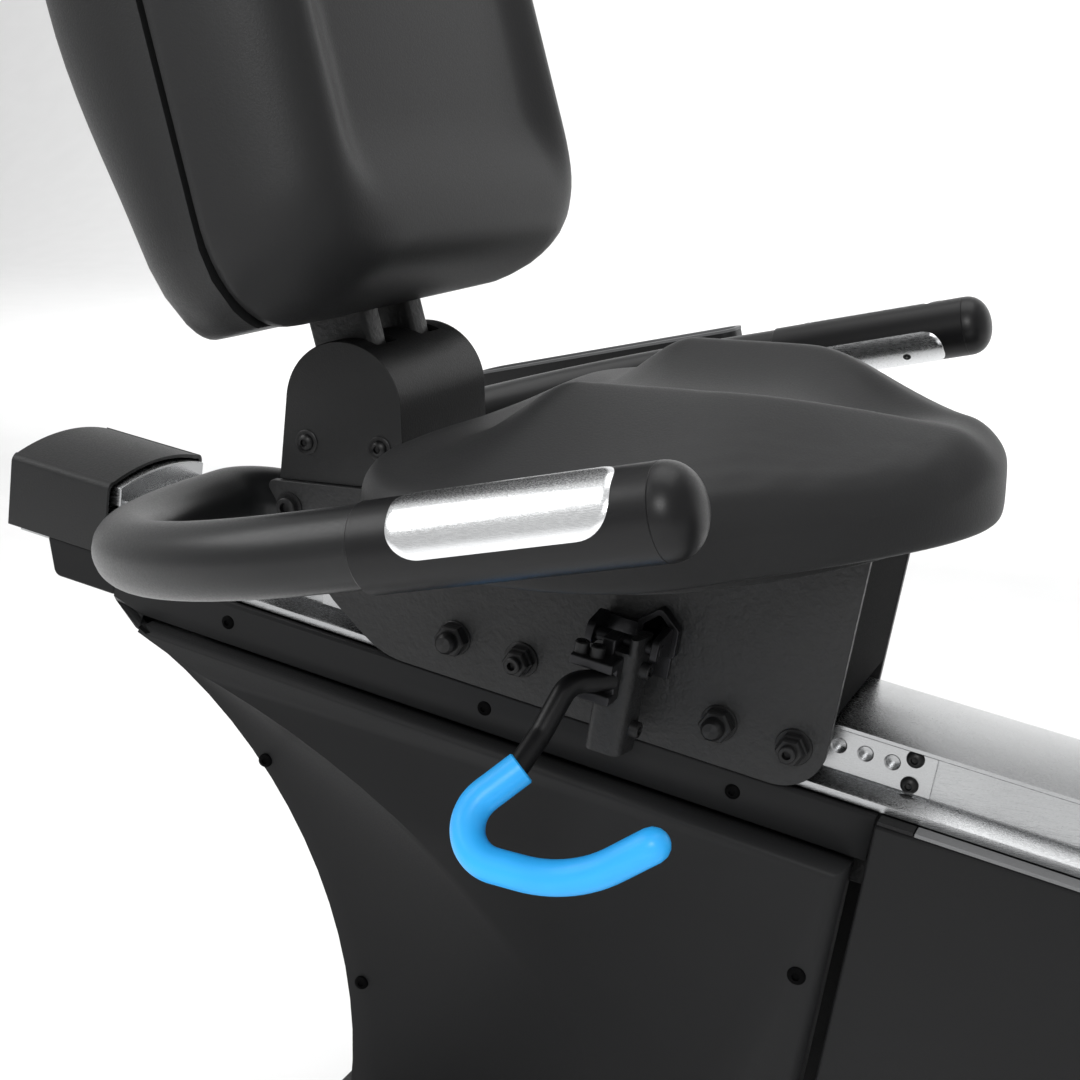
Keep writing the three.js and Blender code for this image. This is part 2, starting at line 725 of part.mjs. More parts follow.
function frontHandlebar() {
  const end = [BAR.x - BAR.reach, BAR.z + BAR.rise];
  return tube(bentPath([
    { at: [end[0], -BAR.half, end[1]] },
    { at: [BAR.x, -BAR.half, BAR.z], radius: 55 },
    { at: [BAR.x, BAR.half, BAR.z], radius: 55 },
    { at: [end[0], BAR.half, end[1]] },
  ]), BAR.r, 26, 10);
}

// Drawn along X from the bar's open end; the mesh is then laid along the bar.
function frontGrip() {
  const ring = new THREE.Shape();
  ring.absarc(0, 0, BAR.r + 5, 0, 2 * Math.PI, false);
  const hole = new THREE.Path();
  hole.absarc(0, 0, BAR.r + GAP + 0.1, 0, 2 * Math.PI, true);
  ring.holes.push(hole);
  return across(ring, 4, 72, 7);
}

const consoleFrame = new THREE.Group();
consoleFrame.position.set(CONSOLE.x, 0, CONSOLE.z);
consoleFrame.rotation.y = CONSOLE_TILT;
bike.add(consoleFrame);

const KEYS = [['down', -46], ['start', 0], ['up', 46]];
const KEY = { r: 9, z: -92, proud: 2, deep: 6, pocket: 9 };
const SCREEN = { half: 150, low: -70, high: 96, thick: 3 };

function consoleHousing() {
  const face = outline([
    [-CONSOLE.half, -CONSOLE.high, 34], [CONSOLE.half, -CONSOLE.high, 34],
    [CONSOLE.half, CONSOLE.high, 34], [-CONSOLE.half, CONSOLE.high, 34],
  ]);
  const body = across(face, 0, CONSOLE.deep, 3, { thickness: 8, size: 8, steps: 2 });
  const recess = box(-1, SCREEN.thick + GAP, -SCREEN.half - GAP, SCREEN.half + GAP,
    SCREEN.low - GAP, SCREEN.high + GAP);
  const pockets = KEYS.map(([, y]) => barX(y, KEY.z, KEY.r + GAP, -1, KEY.pocket));
  return cut(body, recess, ...pockets);
}

consoleFrame.add(
  piece('console_housing', consoleHousing(), finish.shroud),
  piece('console_screen', box(0, SCREEN.thick, -SCREEN.half, SCREEN.half, SCREEN.low, SCREEN.high),
    finish.screen),
);
for (const [name, y] of KEYS) {
  consoleFrame.add(piece(`console_key_${name}`, barX(y, KEY.z, KEY.r, -KEY.proud, KEY.deep), finish.key));
}
bike.add(
  piece('console_mast', consoleMast(), finish.blackPaint),
  piece('front_handlebar', frontHandlebar(), finish.blackPaint),
);
for (const [name, sign] of SIDES) {
  const grip = piece(`front_grip_${name}`, frontGrip(), finish.rubber);
  grip.position.set(BAR.x - BAR.reach, sign * BAR.half, BAR.z + BAR.rise);
  grip.rotation.y = Math.atan2(BAR.rise, BAR.reach);
  bike.add(grip);
}

// ---------------------------------------------------------------- seat carriage
function carriagePlate(sign) {
  const [y0, y1] = sign > 0 ? [PLATE_INNER, PLATE_OUTER] : [-PLATE_OUTER, -PLATE_INNER];
  const low = -216.5;
  const frontTop = fromRail(CARRIAGE_FRONT_U, -64.8);
  const profile = outline([
    [-356, PLATE_TOP, 3],
    [...fromRail(-284, -190), 60],
    [...fromRail(-243, low), 50],
    [...fromRail(CARRIAGE_FRONT_U, low), 28],
    [frontTop[0], PAN_BOTTOM - GAP],
    [-245, PAN_BOTTOM - GAP],
    [-249, PLATE_TOP],
  ]);
  const studs = AXLES_U.map((u) => {
    const [x, z] = fromRail(u, ROLLER.w);
    const shaft = sign > 0 ? [ROLLER.inner, PLATE_INNER + 1] : [-PLATE_INNER - 1, -ROLLER.inner];
    const nut = sign > 0 ? [PLATE_OUTER - 1, 68] : [-68, -PLATE_OUTER + 1];
    return [barY(x, z, 5, ...shaft, 12), barY(x, z, 8.5, ...nut, 6)];
  });
  const [pinX, pinZ] = fromRail(PIN_U, ROLLER.w);
  const plate = join(side(profile, y0, y1), ...studs.flat());
  return sign > 0 ? plate : cut(plate, barY(pinX, pinZ, 5 + GAP, -PLATE_OUTER - 1, -PLATE_INNER + 1, 14));
}

function frontCover() {
  const profile = outline([
    fromRail(CARRIAGE_FRONT_U, -75), fromRail(CARRIAGE_FRONT_U, -168.5),
    fromRail(CARRIAGE_FRONT_U - 4, -168.5), fromRail(CARRIAGE_FRONT_U - 4, -75),
  ]);
  return side(profile, -PLATE_INNER + GAP, PLATE_INNER - GAP);
}

function roller(u, sign) {
  const [x, z] = fromRail(u, ROLLER.w);
  const [y0, y1] = sign > 0 ? [ROLLER.inner, ROLLER.outer] : [-ROLLER.outer, -ROLLER.inner];
  const bore = 5 + GAP;
  return turned([
    [bore, y0], [ROLLER.r - 1, y0], [ROLLER.r, y0 + 1], [ROLLER.r, y1 - 1], [ROLLER.r - 1, y1],
    [bore, y1], [bore, y0],
  ], x, z, 18);
}

// Plan of the seat: a blunt nose at the front that widens to the full width, then round
// rear corners. Right half first, from the nose round to the rear edge.
const SEAT = {
  nose: 82, shoulder: -108, rear: -226, half: 228, corner: 90, bottom: -68, edge: -13, crown: 12,
};

function seatPlan(inset) {
  const half = SEAT.half - inset;
  const nose = SEAT.nose - inset;
  const rear = SEAT.rear + inset;
  const corner = SEAT.corner - inset / 2;
  const shape = new THREE.Shape();
  shape.moveTo(nose, 0);
  shape.bezierCurveTo(nose, -half * 0.27, 22, -half * 0.56, -26, -half * 0.825);
  shape.bezierCurveTo(-48, -half * 0.947, -74, -half, SEAT.shoulder, -half);
  shape.lineTo(rear + corner, -half);
  shape.absarc(rear + corner, -half + corner, corner, -Math.PI / 2, -Math.PI, true);
  shape.lineTo(rear, half - corner);
  shape.absarc(rear + corner, half - corner, corner, Math.PI, Math.PI / 2, true);
  shape.lineTo(SEAT.shoulder, half);
  shape.bezierCurveTo(-74, half, -48, half * 0.947, -26, half * 0.825);
  shape.bezierCurveTo(22, half * 0.56, nose, half * 0.27, nose, 0);
  return shape;
}

function seatCushion() {
  const block = flat(seatPlan(0), SEAT.bottom, SEAT.crown - 9, 3);
  const crown = flat(seatPlan(0), SEAT.edge - 22, SEAT.crown, 3, { thickness: 10, size: 22, steps: 2 });
  const keep = box(-300, 200, -300, 300, SEAT.bottom - 5, SEAT.edge);
  return join(block.intersect(keep), crown);
}

function seatPan() {
  const frontLip = box(-225, 14, -PLATE_INNER + GAP, PLATE_INNER - GAP, PAN_BOTTOM - 20, PAN_BOTTOM + 1);
  const hollow = box(-221, 10, -PLATE_INNER + 4, PLATE_INNER - 4, PAN_BOTTOM - 21, PAN_BOTTOM);
  return cut(join(flat(seatPlan(32), PAN_BOTTOM, PAN_TOP, 2), frontLip), hollow);
}

fromGrip.add(
  piece('carriage_front_cover', frontCover(), finish.shroud),
  piece('seat_pan', seatPan(), finish.blackPaint),
  piece('seat_cushion', seatCushion(), finish.cushion),
);
for (const [name, sign] of SIDES) {
  fromGrip.add(piece(`carriage_plate_${name}`, carriagePlate(sign), finish.blackPaint));
  for (const [place, u] of Object.entries(ROLLERS_U)) {
    fromGrip.add(piece(`roller_${place}_${name}`, roller(u, sign), finish.rubber));
  }
}

// ---------------------------------------------------------------- backrest pivot
function pivotCover() {
  const base = PLATE_TOP + GAP;
  const arch = (inset, low) => outline([
    [PIVOT.x - COVER_R - 5 + inset, low],
    [PIVOT.x - COVER_R + inset, PIVOT.z + COVER_R - inset, COVER_R - inset - 0.5],
    [PIVOT.x + COVER_R - inset, PIVOT.z + COVER_R - inset, COVER_R - inset - 0.5],
    [PIVOT.x + COVER_R + 2 - inset, low],
  ]);
  const shell = cut(
    side(arch(0, base), -COVER_HALF, COVER_HALF, 5),
    side(arch(WALL, base - 5), -COVER_HALF + WALL, COVER_HALF - WALL, 5),
  );
  const slot = new THREE.Shape();
  slot.moveTo(PIVOT.x, PIVOT.z);
  slot.lineTo(PIVOT.x + (COVER_R + 12) * Math.cos(66 * DEG), PIVOT.z + (COVER_R + 12) * Math.sin(66 * DEG));
  slot.absarc(PIVOT.x, PIVOT.z, COVER_R + 12, 66 * DEG, 152 * DEG, false);
  slot.closePath();
  return cut(shell, ...SIDES.map(([, sign]) => side(slot, ...span(sign, 15.5, 39.5), 5)));
}

const PIVOT_PIN_R = 8;

function backrestBracket() {
  const ear = outline([
    [PIVOT.x - 26, -74], [PIVOT.x - 19, PIVOT.z + 19, 18], [PIVOT.x + 19, PIVOT.z + 19, 18],
    [PIVOT.x + 26, -74],
  ]);
  const base = box(-330, -262, -PLATE_INNER + GAP, PLATE_INNER - GAP, -75, PLATE_TOP - 0.5);
  const ears = SIDES.map(([, sign]) => side(ear, ...span(sign, 44, 50)));
  return cut(join(base, ...ears), barY(PIVOT.x, PIVOT.z, PIVOT_PIN_R + GAP, -60, 60));
}

function backrestUprights() {
  const bars = SIDES.map(([, sign]) => box(-20, 20, ...span(sign, 17.5, 37.5), -4, 430));
  return join(
    ...bars,
    barY(0, 0, 15, -42, 42),
    barY(0, 0, PIVOT_PIN_R, -49.5, 49.5),
    box(4, 20, -30, 30, 120, 170),
    box(4, 20, -30, 30, 330, 380),
  );
}

// Front view of the backrest, in its own tilted frame: y across, z up the back.
const BACK = { half: 185, low: 52, high: 552, front: 97.5, deep: -80 };

function backPlan(inset, lowInset) {
  const half = BACK.half - inset;
  return outline([
    [-half, BACK.low + lowInset, 55], [half, BACK.low + lowInset, 55],
    [half * 0.92, BACK.high - inset, 80], [-half * 0.92, BACK.high - inset, 80],
  ]);
}

function backrestShell() {
  const face = SEAM_X - GAP;
  const bulge = (inset) => across(backPlan(inset, inset), BACK.deep + inset, -BACK.deep + 2 * face,
    3, { thickness: 80, size: 48, steps: 4 });
  const rearHalf = box(-200, face, -300, 300, 0, 700);
  const mouth = box(-27, 27, -46, 46, 30, 110);
  return cut(bulge(0).intersect(rearHalf), bulge(4), mouth);
}

function backrestCushion() {
  const depth = BACK.front - SEAM_X;
  const block = across(backPlan(0, 0), SEAM_X - depth, BACK.front, 3,
    { thickness: 60, size: 30, steps: 3 });
  return block.intersect(box(SEAM_X, 200, -300, 300, 0, 700));
}

fromGrip.add(
  piece('pivot_cover', pivotCover(), finish.shell),
  piece('backrest_bracket', backrestBracket(), finish.darkSteel),
);
backFrame.add(
  piece('backrest_uprights', backrestUprights(), finish.blackPaint),
  piece('backrest_shell', backrestShell(), finish.shell),
  piece('backrest_cushion', backrestCushion(), finish.cushion),
);

// ---------------------------------------------------------------- seat handlebars
const BAR_REAR_S = -387;
const BAR_BEND = 216;
const SLEEVE = { r: 20.9, length: 140, tip: 16.5, bore: TUBE_R + GAP };

// A point in the handlebar plane, which passes through the grip point.
const inBarPlane = (s, y) => [s * Math.cos(GRIP_PITCH), y, s * Math.sin(GRIP_PITCH)];

function seatHandlebar(sign) {
  return tube(bentPath([
    { at: inBarPlane(-SLEEVE.length + 118, sign * GRIP_SPREAD) },
    { at: inBarPlane(BAR_REAR_S, sign * GRIP_SPREAD), radius: BAR_BEND },
    { at: inBarPlane(BAR_REAR_S, sign * 30), radius: 42 },
    { at: [-306, sign * 30, -101] },
  ]), TUBE_R, 34, 10);
}

// Drawn along X with the tip at the front.
function gripSleeve() {
  const dome = [];
  for (let i = 0; i <= 5; i += 1) {
    const angle = Math.PI / 2 * i / 5;
    dome.push([i < 5 ? SLEEVE.r * Math.cos(angle) : 0, SLEEVE.tip * Math.sin(angle)]);
  }
  const profile = [
    [0, -14], [SLEEVE.bore, -14], [SLEEVE.bore, -SLEEVE.length], [SLEEVE.r, -SLEEVE.length], ...dome,
  ];
  const geometry = new THREE.LatheGeometry(profile.map(([r, a]) => new THREE.Vector2(r, a)), 18);
  geometry.rotateZ(-Math.PI / 2);
  return toSolid(geometry);
}

// A curved contact plate on the outer upper part of the sleeve.
function gripSensor(sign) {
  const inner = SLEEVE.r + GAP;
  const from = sign > 0 ? -11 * DEG : 191 * DEG;
  const to = sign > 0 ? 95 * DEG : 85 * DEG;
  const sector = new THREE.Shape();
  sector.absarc(0, 0, inner + 1.2, from, to, sign < 0);
  sector.absarc(0, 0, inner, to, from, sign > 0);
  sector.closePath();
  return across(sector, -SLEEVE.length + 11, -24, 5);
}

// A moulded bin outside the left handlebar, drawn level and then laid in the bar's plane.
const TRAY = { rear: -410, front: -182, inner: 328, bottom: -46, rim: 24, wall: 2.5 };

function sideTray() {
  const plan = (inset) => outline([
    [TRAY.rear + inset, TRAY.inner + inset, 10], [TRAY.front - inset, TRAY.inner + inset, 10],
    [TRAY.front - inset, STAB_HALF - inset, 16], [TRAY.rear + inset, STAB_HALF - inset, 16],
  ]);
  const lug = box(-204, -182, GRIP_SPREAD + TUBE_R + GAP, TRAY.inner + 1, -9, 9);
  const bin = cut(
    flat(plan(0), TRAY.bottom, TRAY.rim),
    flat(plan(TRAY.wall), TRAY.bottom + TRAY.wall, TRAY.rim + 5),
  );
  return join(bin, lug);
}

const alongBars = (mesh, y = 0) => {
  mesh.position.y = y;
  mesh.rotation.y = -GRIP_PITCH;
  return mesh;
};

fromGrip.add(alongBars(piece('side_tray', sideTray(), finish.shell)));
for (const [name, sign] of SIDES) {
  fromGrip.add(
    piece(`seat_handlebar_${name}`, seatHandlebar(sign), finish.blackPaint),
    alongBars(piece(`grip_${name}`, gripSleeve(), finish.grip), sign * GRIP_SPREAD),
    alongBars(piece(`grip_sensor_${name}`, gripSensor(sign), finish.brightSteel), sign * GRIP_SPREAD),
  );
}

// ---------------------------------------------------------------- release lever
// Given in rail coordinates: the lever turns on an axis along the rail.
const LEVER_PIVOT = { v: -82, w: -150 };
const BLOCK = { rear: -91, front: -67 };
const LEVER_ROD = { u: -84, w: -167, r: 6.35, grip: 9.5 };

function leverBracket() {
  const foot = box(BLOCK.rear - 9, BLOCK.front + 9, -63.2, -PLATE_OUTER - GAP, -178, -132);
  const ears = [[BLOCK.rear - 6, BLOCK.rear - 1], [BLOCK.front + 1, BLOCK.front + 6]]
    .map(([u0, u1]) => box(u0, u1, -92, -62, -162, -138));
  const pin = barX(LEVER_PIVOT.v, LEVER_PIVOT.w, 4, BLOCK.rear - 3, BLOCK.front + 3, 14);
  return join(foot, ...ears, pin);
}

function leverBlock() {
  const body = box(BLOCK.rear, BLOCK.front, -96, -76, -214, -141);
  const clamp = box(BLOCK.rear - 6, BLOCK.rear + 18, -112, -95, -178, -155);
  return cut(
    join(body, clamp),
    barX(LEVER_PIVOT.v, LEVER_PIVOT.w, 4 + GAP, BLOCK.rear - 9, BLOCK.front + 9, 14),
    barY(LEVER_ROD.u, LEVER_ROD.w, LEVER_ROD.r + GAP, -120, -95, 12),
  );
}

const ROD_PATH = [
  { at: [LEVER_ROD.u, -96.5, LEVER_ROD.w] },
  { at: [LEVER_ROD.u, -122, LEVER_ROD.w], radius: 16 },
  { at: [-100, -142, -192], radius: 20 },
  { at: [-101, -159, -206] },
];
const HOOK_PATH = [
  { at: [-102.5, -163, -208.5] },
  { at: [-133, -196, -256], radius: 22 },
  { at: [-48, -194, -249], radius: 85 },
  { at: [-13, -190, -207] },
];

railFrame.add(
  piece('lever_bracket', leverBracket(), finish.darkSteel),
  piece('lever_block', leverBlock(), finish.darkSteel),
  piece('lever_rod', tube(bentPath(ROD_PATH), LEVER_ROD.r, 14, 8), finish.blackPaint),
  piece('lever_grip', tube(bentPath(HOOK_PATH), LEVER_ROD.grip, 20, 10), finish.blueVinyl),
  piece('locking_pin', join(
    barY(PIN_U, ROLLER.w, 3.6, -60, -RAIL_WALL_HALF - GAP - 2 - GAP, 12),
    barY(PIN_U, ROLLER.w, 5, -73.5, -56, 14),
  ), finish.brightSteel),
);

// ---------------------------------------------------------------- origin
// The origin is on the floor, under the middle of the whole bike.
bike.updateMatrixWorld(true);
const extent = new THREE.Box3().setFromObject(bike);
bike.position.x = -(extent.min.x + extent.max.x) / 2;

export default bike;
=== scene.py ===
"""Looks of the recumbent exercise bike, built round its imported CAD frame.

Lengths in the shape functions are millimetres in one of four local frames, and each
piece is made directly in the shared frame, in metres, with its object at the origin:
  GRIP   the middle of the line between the two hand grips, axes as the shared frame
  RAIL   the same point, turned so that X runs down the seat rail
  BARS   the same point, turned so that X runs up the seat handlebars
  BACK   the backrest pivot, turned so that Z runs up the backrest
"""

import json
import math

import bmesh
import bpy
import numpy as np
from mathutils import Matrix, Vector


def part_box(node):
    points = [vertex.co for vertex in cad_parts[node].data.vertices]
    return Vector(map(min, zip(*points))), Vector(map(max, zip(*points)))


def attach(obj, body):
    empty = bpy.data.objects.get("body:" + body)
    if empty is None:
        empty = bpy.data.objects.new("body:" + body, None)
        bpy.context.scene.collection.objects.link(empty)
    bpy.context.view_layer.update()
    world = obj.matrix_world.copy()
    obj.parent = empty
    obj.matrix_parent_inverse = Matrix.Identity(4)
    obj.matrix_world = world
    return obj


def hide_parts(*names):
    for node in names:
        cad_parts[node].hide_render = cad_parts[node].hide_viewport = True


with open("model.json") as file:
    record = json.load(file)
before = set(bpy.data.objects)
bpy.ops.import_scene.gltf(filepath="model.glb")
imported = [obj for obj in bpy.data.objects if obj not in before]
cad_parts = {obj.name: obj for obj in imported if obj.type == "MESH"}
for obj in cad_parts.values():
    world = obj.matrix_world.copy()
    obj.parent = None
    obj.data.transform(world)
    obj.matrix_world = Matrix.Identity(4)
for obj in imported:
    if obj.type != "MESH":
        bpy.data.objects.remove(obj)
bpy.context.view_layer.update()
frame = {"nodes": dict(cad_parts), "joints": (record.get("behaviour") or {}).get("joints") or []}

MM = 0.001
JOINTS = {joint["name"]: joint for joint in frame["joints"]}
SIDES = (("right", -1), ("left", 1))
OPEN = (False, False)               # ring ends left without faces
SAME_POINT = 2e-6                   # metres; corners nearer than this are merged

# ------------------------------------------------------------------ local frames
PIVOT = Vector(JOINTS["backrest_recline"]["pos_m"])
GRIP_POINT = PIVOT + Vector((0.301, 0.0, 0.022))
PIVOT_AT = (-301, -22)              # x and z of the backrest pivot, from the grip point, in mm
RAIL_AXIS = Vector(JOINTS["seat_slide"]["axis"])
RAIL_SLOPE = math.atan2(-RAIL_AXIS.z, RAIL_AXIS.x)
BARS_PITCH = math.radians(12.44)
BACK_TILT = math.radians(15)

GRIP = Matrix.Translation(GRIP_POINT)
RAIL = GRIP @ Matrix.Rotation(RAIL_SLOPE, 4, "Y")
BARS = GRIP @ Matrix.Rotation(-BARS_PITCH, 4, "Y")
BACK = Matrix.Translation(PIVOT) @ Matrix.Rotation(-BACK_TILT, 4, "Y")


def rail_to_grip(u, w):
    """A point given along and square to the rail, as x and z from the grip point."""
    cos, sin = math.cos(RAIL_SLOPE), math.sin(RAIL_SLOPE)
    return u * cos + w * sin, -u * sin + w * cos


# ------------------------------------------------------------------ outlines and paths
def rounded(corners, step=8.0):
    """A closed outline from (x, y, radius) corners, each arc drawn every `step` degrees."""
    points = []
    count = len(corners)
    for index, corner in enumerate(corners):
        x, y = corner[0], corner[1]
        radius = corner[2] if len(corner) > 2 else 0.0
        here = np.array((x, y), float)
        back = np.array(corners[index - 1][:2], float) - here
        ahead = np.array(corners[(index + 1) % count][:2], float) - here
        back /= np.linalg.norm(back)
        ahead /= np.linalg.norm(ahead)
        if radius == 0:
            points.append(tuple(here))
            continue
        half = math.acos(max(-1.0, min(1.0, float(back @ ahead)))) / 2
        middle = back + ahead
        centre = here + middle / np.linalg.norm(middle) * radius / math.sin(half)
        first = here + back * radius / math.tan(half)
        last = here + ahead * radius / math.tan(half)
        start = math.atan2(*(first - centre)[::-1])
        turn = math.atan2(*(last - centre)[::-1]) - start
        turn = (turn + math.pi) % (2 * math.pi) - math.pi
        steps = max(2, int(abs(math.degrees(turn)) / step))
        for k in range(steps + 1):
            angle = start + turn * k / steps
            points.append((centre[0] + radius * math.cos(angle), centre[1] + radius * math.sin(angle)))
    return points


def arc(x, y, radius, start, end, steps):
    """Points on an arc, angles in degrees."""
    angles = np.radians(np.linspace(start, end, steps + 1))
    return [(x + radius * math.cos(a), y + radius * math.sin(a)) for a in angles]


def bent(corners, step=4.0):
    """A 3-D path of straight runs with a round bend at each (point, radius) corner."""
    points = [np.array(corners[0][0], float)]
    for index in range(1, len(corners) - 1):
        here = np.array(corners[index][0], float)
        radius = corners[index][1]
        back = np.array(corners[index - 1][0], float) - here
        ahead = np.array(corners[index + 1][0], float) - here
        back /= np.linalg.norm(back)
        ahead /= np.linalg.norm(ahead)
        half = math.acos(float(back @ ahead)) / 2
        middle = (back + ahead) / np.linalg.norm(back + ahead)
        centre = here + middle * radius / math.sin(half)
        first = here + back * radius / math.tan(half) - centre
        last = here + ahead * radius / math.tan(half) - centre
        total = math.pi - 2 * half
        steps = max(3, int(math.degrees(total) / step))
        for k in range(steps + 1):
            t = k / steps
            blend = (math.sin((1 - t) * total) * first + math.sin(t * total) * last) / math.sin(total)
            points.append(centre + blend)
    points.append(np.array(corners[-1][0], float))
    return points


# ------------------------------------------------------------------ meshes
class Form:
    """Vertices and faces, in millimetres, gathered before they become one piece."""

    def __init__(self):
        self.verts = []
        self.faces = []

    def add(self, verts, faces):
        start = len(self.verts)
        self.verts.extend(tuple(float(c) for c in v) for v in verts)
        self.faces.extend([start + i for i in face] for face in faces)
        return self

    def rings(self, rings, closed=True, caps=(True, True)):
        """Skins a list of equal rings of points."""
        size = len(rings[0])
        verts = [p for ring in rings for p in ring]
        faces = []
        for r in range(len(rings) - 1):
            for k in range(size if closed else size - 1):
                a, b = r * size + k, r * size + (k + 1) % size
                faces.append([a, b, b + size, a + size])
        if caps[0]:
            faces.append(list(range(size))[::-1])
        if caps[1]:
            faces.append([(len(rings) - 1) * size + k for k in range(size)])
        return self.add(verts, faces)

    def prism(self, outline, low, high, axis="y", caps=(True, True)):
        """An outline pushed from low to high: X-Z along y, Y-Z along x, X-Y along z."""
        place = {
            "y": lambda p, t: (p[0], t, p[1]),
            "x": lambda p, t: (t, p[0], p[1]),
            "z": lambda p, t: (p[0], p[1], t),
        }[axis]
        return self.rings([[place(p, low) for p in outline], [place(p, high) for p in outline]], caps=caps)

    def block(self, x, y, z):
        outline = [(x[0], z[0]), (x[1], z[0]), (x[1], z[1]), (x[0], z[1])]
        return self.prism(outline, y[0], y[1])

    def lathe(self, profile, centre, axis, sides=40):
        """A profile of (radius, along) turned about an axis through centre."""
        axis = Vector(axis).normalized()
        side = axis.orthogonal().normalized()
        other = axis.cross(side)
        rings = []
        for radius, along in profile:
            radius = max(radius, 0.01)
            ring = []
            for k in range(sides):
                angle = 2 * math.pi * k / sides
                point = Vector(centre) + axis * along
                point += radius * (math.cos(angle) * side + math.sin(angle) * other)
                ring.append(point)
            rings.append(ring)
        return self.rings(rings)

    def sweep(self, path, radii, sides=32):
        """A round bar along a path; radii is one number or one for each point."""
        path = [Vector(p) for p in path]
        if not hasattr(radii, "__len__"):
            radii = [radii] * len(path)
        tangents = []
        for k in range(len(path)):
            tangents.append((path[min(k + 1, len(path) - 1)] - path[max(k - 1, 0)]).normalized())
        side = tangents[0].orthogonal().normalized()
        rings = []
        for k, point in enumerate(path):
            if k:
                side = (tangents[k - 1].rotation_difference(tangents[k]) @ side).normalized()
            other = tangents[k].cross(side)
            angles = [2 * math.pi * j / sides for j in range(sides)]
            rings.append([point + radii[k] * (math.cos(a) * side + math.sin(a) * other) for a in angles])
        return self.rings(rings)

    def sheet(self, rows):
        """Skins rows of points that are open along both edges and at both ends."""
        return self.rings(rows, closed=False, caps=OPEN)

    def patch(self, *corners):
        """One face from ((x, z), y) corners."""
        return self.add([(x, y, z) for (x, z), y in corners], [range(len(corners))])


def span(sign, near, far):
    """The range from near to far on one side of the middle plane, lower end first."""
    return (near, far) if sign > 0 else (-far, -near)


def mesh_of(name, form, place):
    """The form as a mesh in the shared frame."""
    mesh = bpy.data.meshes.new(name)
    mesh.from_pydata([place @ (Vector(v) * MM) for v in form.verts], [], form.faces)
    return mesh


def linked(name, data):
    """A new object in the scene."""
    thing = bpy.data.objects.new(name, data)
    bpy.context.scene.collection.objects.link(thing)
    return thing


def shade(mesh, crease, clean=False):
    """Smooth faces, with edges past the crease angle kept sharp."""
    bm = bmesh.new()
    bm.from_mesh(mesh)
    if clean:
        bmesh.ops.remove_doubles(bm, verts=bm.verts, dist=SAME_POINT)
        bmesh.ops.recalc_face_normals(bm, faces=bm.faces)
    for edge in bm.edges:
        edge.smooth = edge.calc_face_angle(0.0) < math.radians(crease)
    for face in bm.faces:
        face.smooth = True
    bm.to_mesh(mesh)
    bm.free()


def make(name, form, place, material, body, replaces=(), crease=35.0):
    """The form as a piece in the shared frame, riding on a body."""
    mesh = mesh_of(name, form, place)
    mesh.validate()
    shade(mesh, crease, clean=True)
    piece = linked(name, mesh)
    mesh.materials.append(material)
    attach(piece, body)
    if replaces:
        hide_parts(*replaces)
    return piece


def soften(piece, width, segments=3, angle=35.0):
    """Rounds the piece's sharp edges by `width` millimetres."""
    bevel = piece.modifiers.new("rounded_edges", "BEVEL")
    bevel.width = width * MM
    bevel.segments = segments
    bevel.limit_method = "ANGLE"
    bevel.angle_limit = math.radians(angle)
    bevel.use_clamp_overlap = True
    bevel.harden_normals = True
    bevel.miter_outer = "MITER_ARC"
    for edge in piece.data.edges:
        edge.use_edge_sharp = False
    return piece


def thicken(piece, thickness):
    """Gives an open skin a wall, grown inwards."""
    solid = piece.modifiers.new("wall", "SOLIDIFY")
    solid.thickness = thickness * MM
    solid.offset = -1
    return piece


def carve(piece, form, place):
    """Cuts the form out of the piece."""
    mesh = mesh_of("cutter", form, place)
    bm = bmesh.new()
    bm.from_mesh(mesh)
    bmesh.ops.recalc_face_normals(bm, faces=bm.faces)
    bm.to_mesh(mesh)
    bm.free()
    cutter = linked("cutter", mesh)
    cut = piece.modifiers.new("cut", "BOOLEAN")
    cut.operation = "DIFFERENCE"
    cut.solver = "EXACT"
    cut.object = cutter
    result = bpy.data.meshes.new_from_object(piece.evaluated_get(bpy.context.evaluated_depsgraph_get()))
    piece.modifiers.remove(cut)
    piece.data = result
    bpy.data.objects.remove(cutter)
    shade(result, 35)
    return piece


def dress(node, material, width=0.0):
    """Keeps a CAD node, with a finished material and rounded edges."""
    piece = frame["nodes"][node]
    piece.data.materials.clear()
    piece.data.materials.append(material)
    weld = piece.modifiers.new("weld", "WELD")
    weld.merge_threshold = 1e-5
    if width:
        bevel = piece.modifiers.new("rounded_edges", "BEVEL")
        bevel.width = width * MM
        bevel.segments = 2
        bevel.angle_limit = math.radians(40)
        bevel.harden_normals = True
    return piece


# ------------------------------------------------------------------ materials
def node_tree(name):
    material = bpy.data.materials.new(name)
    material.use_nodes = True
    nodes = material.node_tree.nodes
    return material, nodes, material.node_tree.links, nodes["Principled BSDF"]


def noise(nodes, links, vector, scale, detail=3.0, rough=0.5):
    node = nodes.new("ShaderNodeTexNoise")
    node.inputs["Scale"].default_value = scale
    node.inputs["Detail"].default_value = detail
    node.inputs["Roughness"].default_value = rough
    links.new(vector, node.inputs["Vector"])
    return node.outputs["Fac"]


def ranged(nodes, links, value, low, high, start=0.3, end=0.7):
    node = nodes.new("ShaderNodeMapRange")
    node.inputs["From Min"].default_value = start
    node.inputs["From Max"].default_value = end
    node.inputs["To Min"].default_value = low
    node.inputs["To Max"].default_value = high
    links.new(value, node.inputs["Value"])
    return node.outputs["Result"]


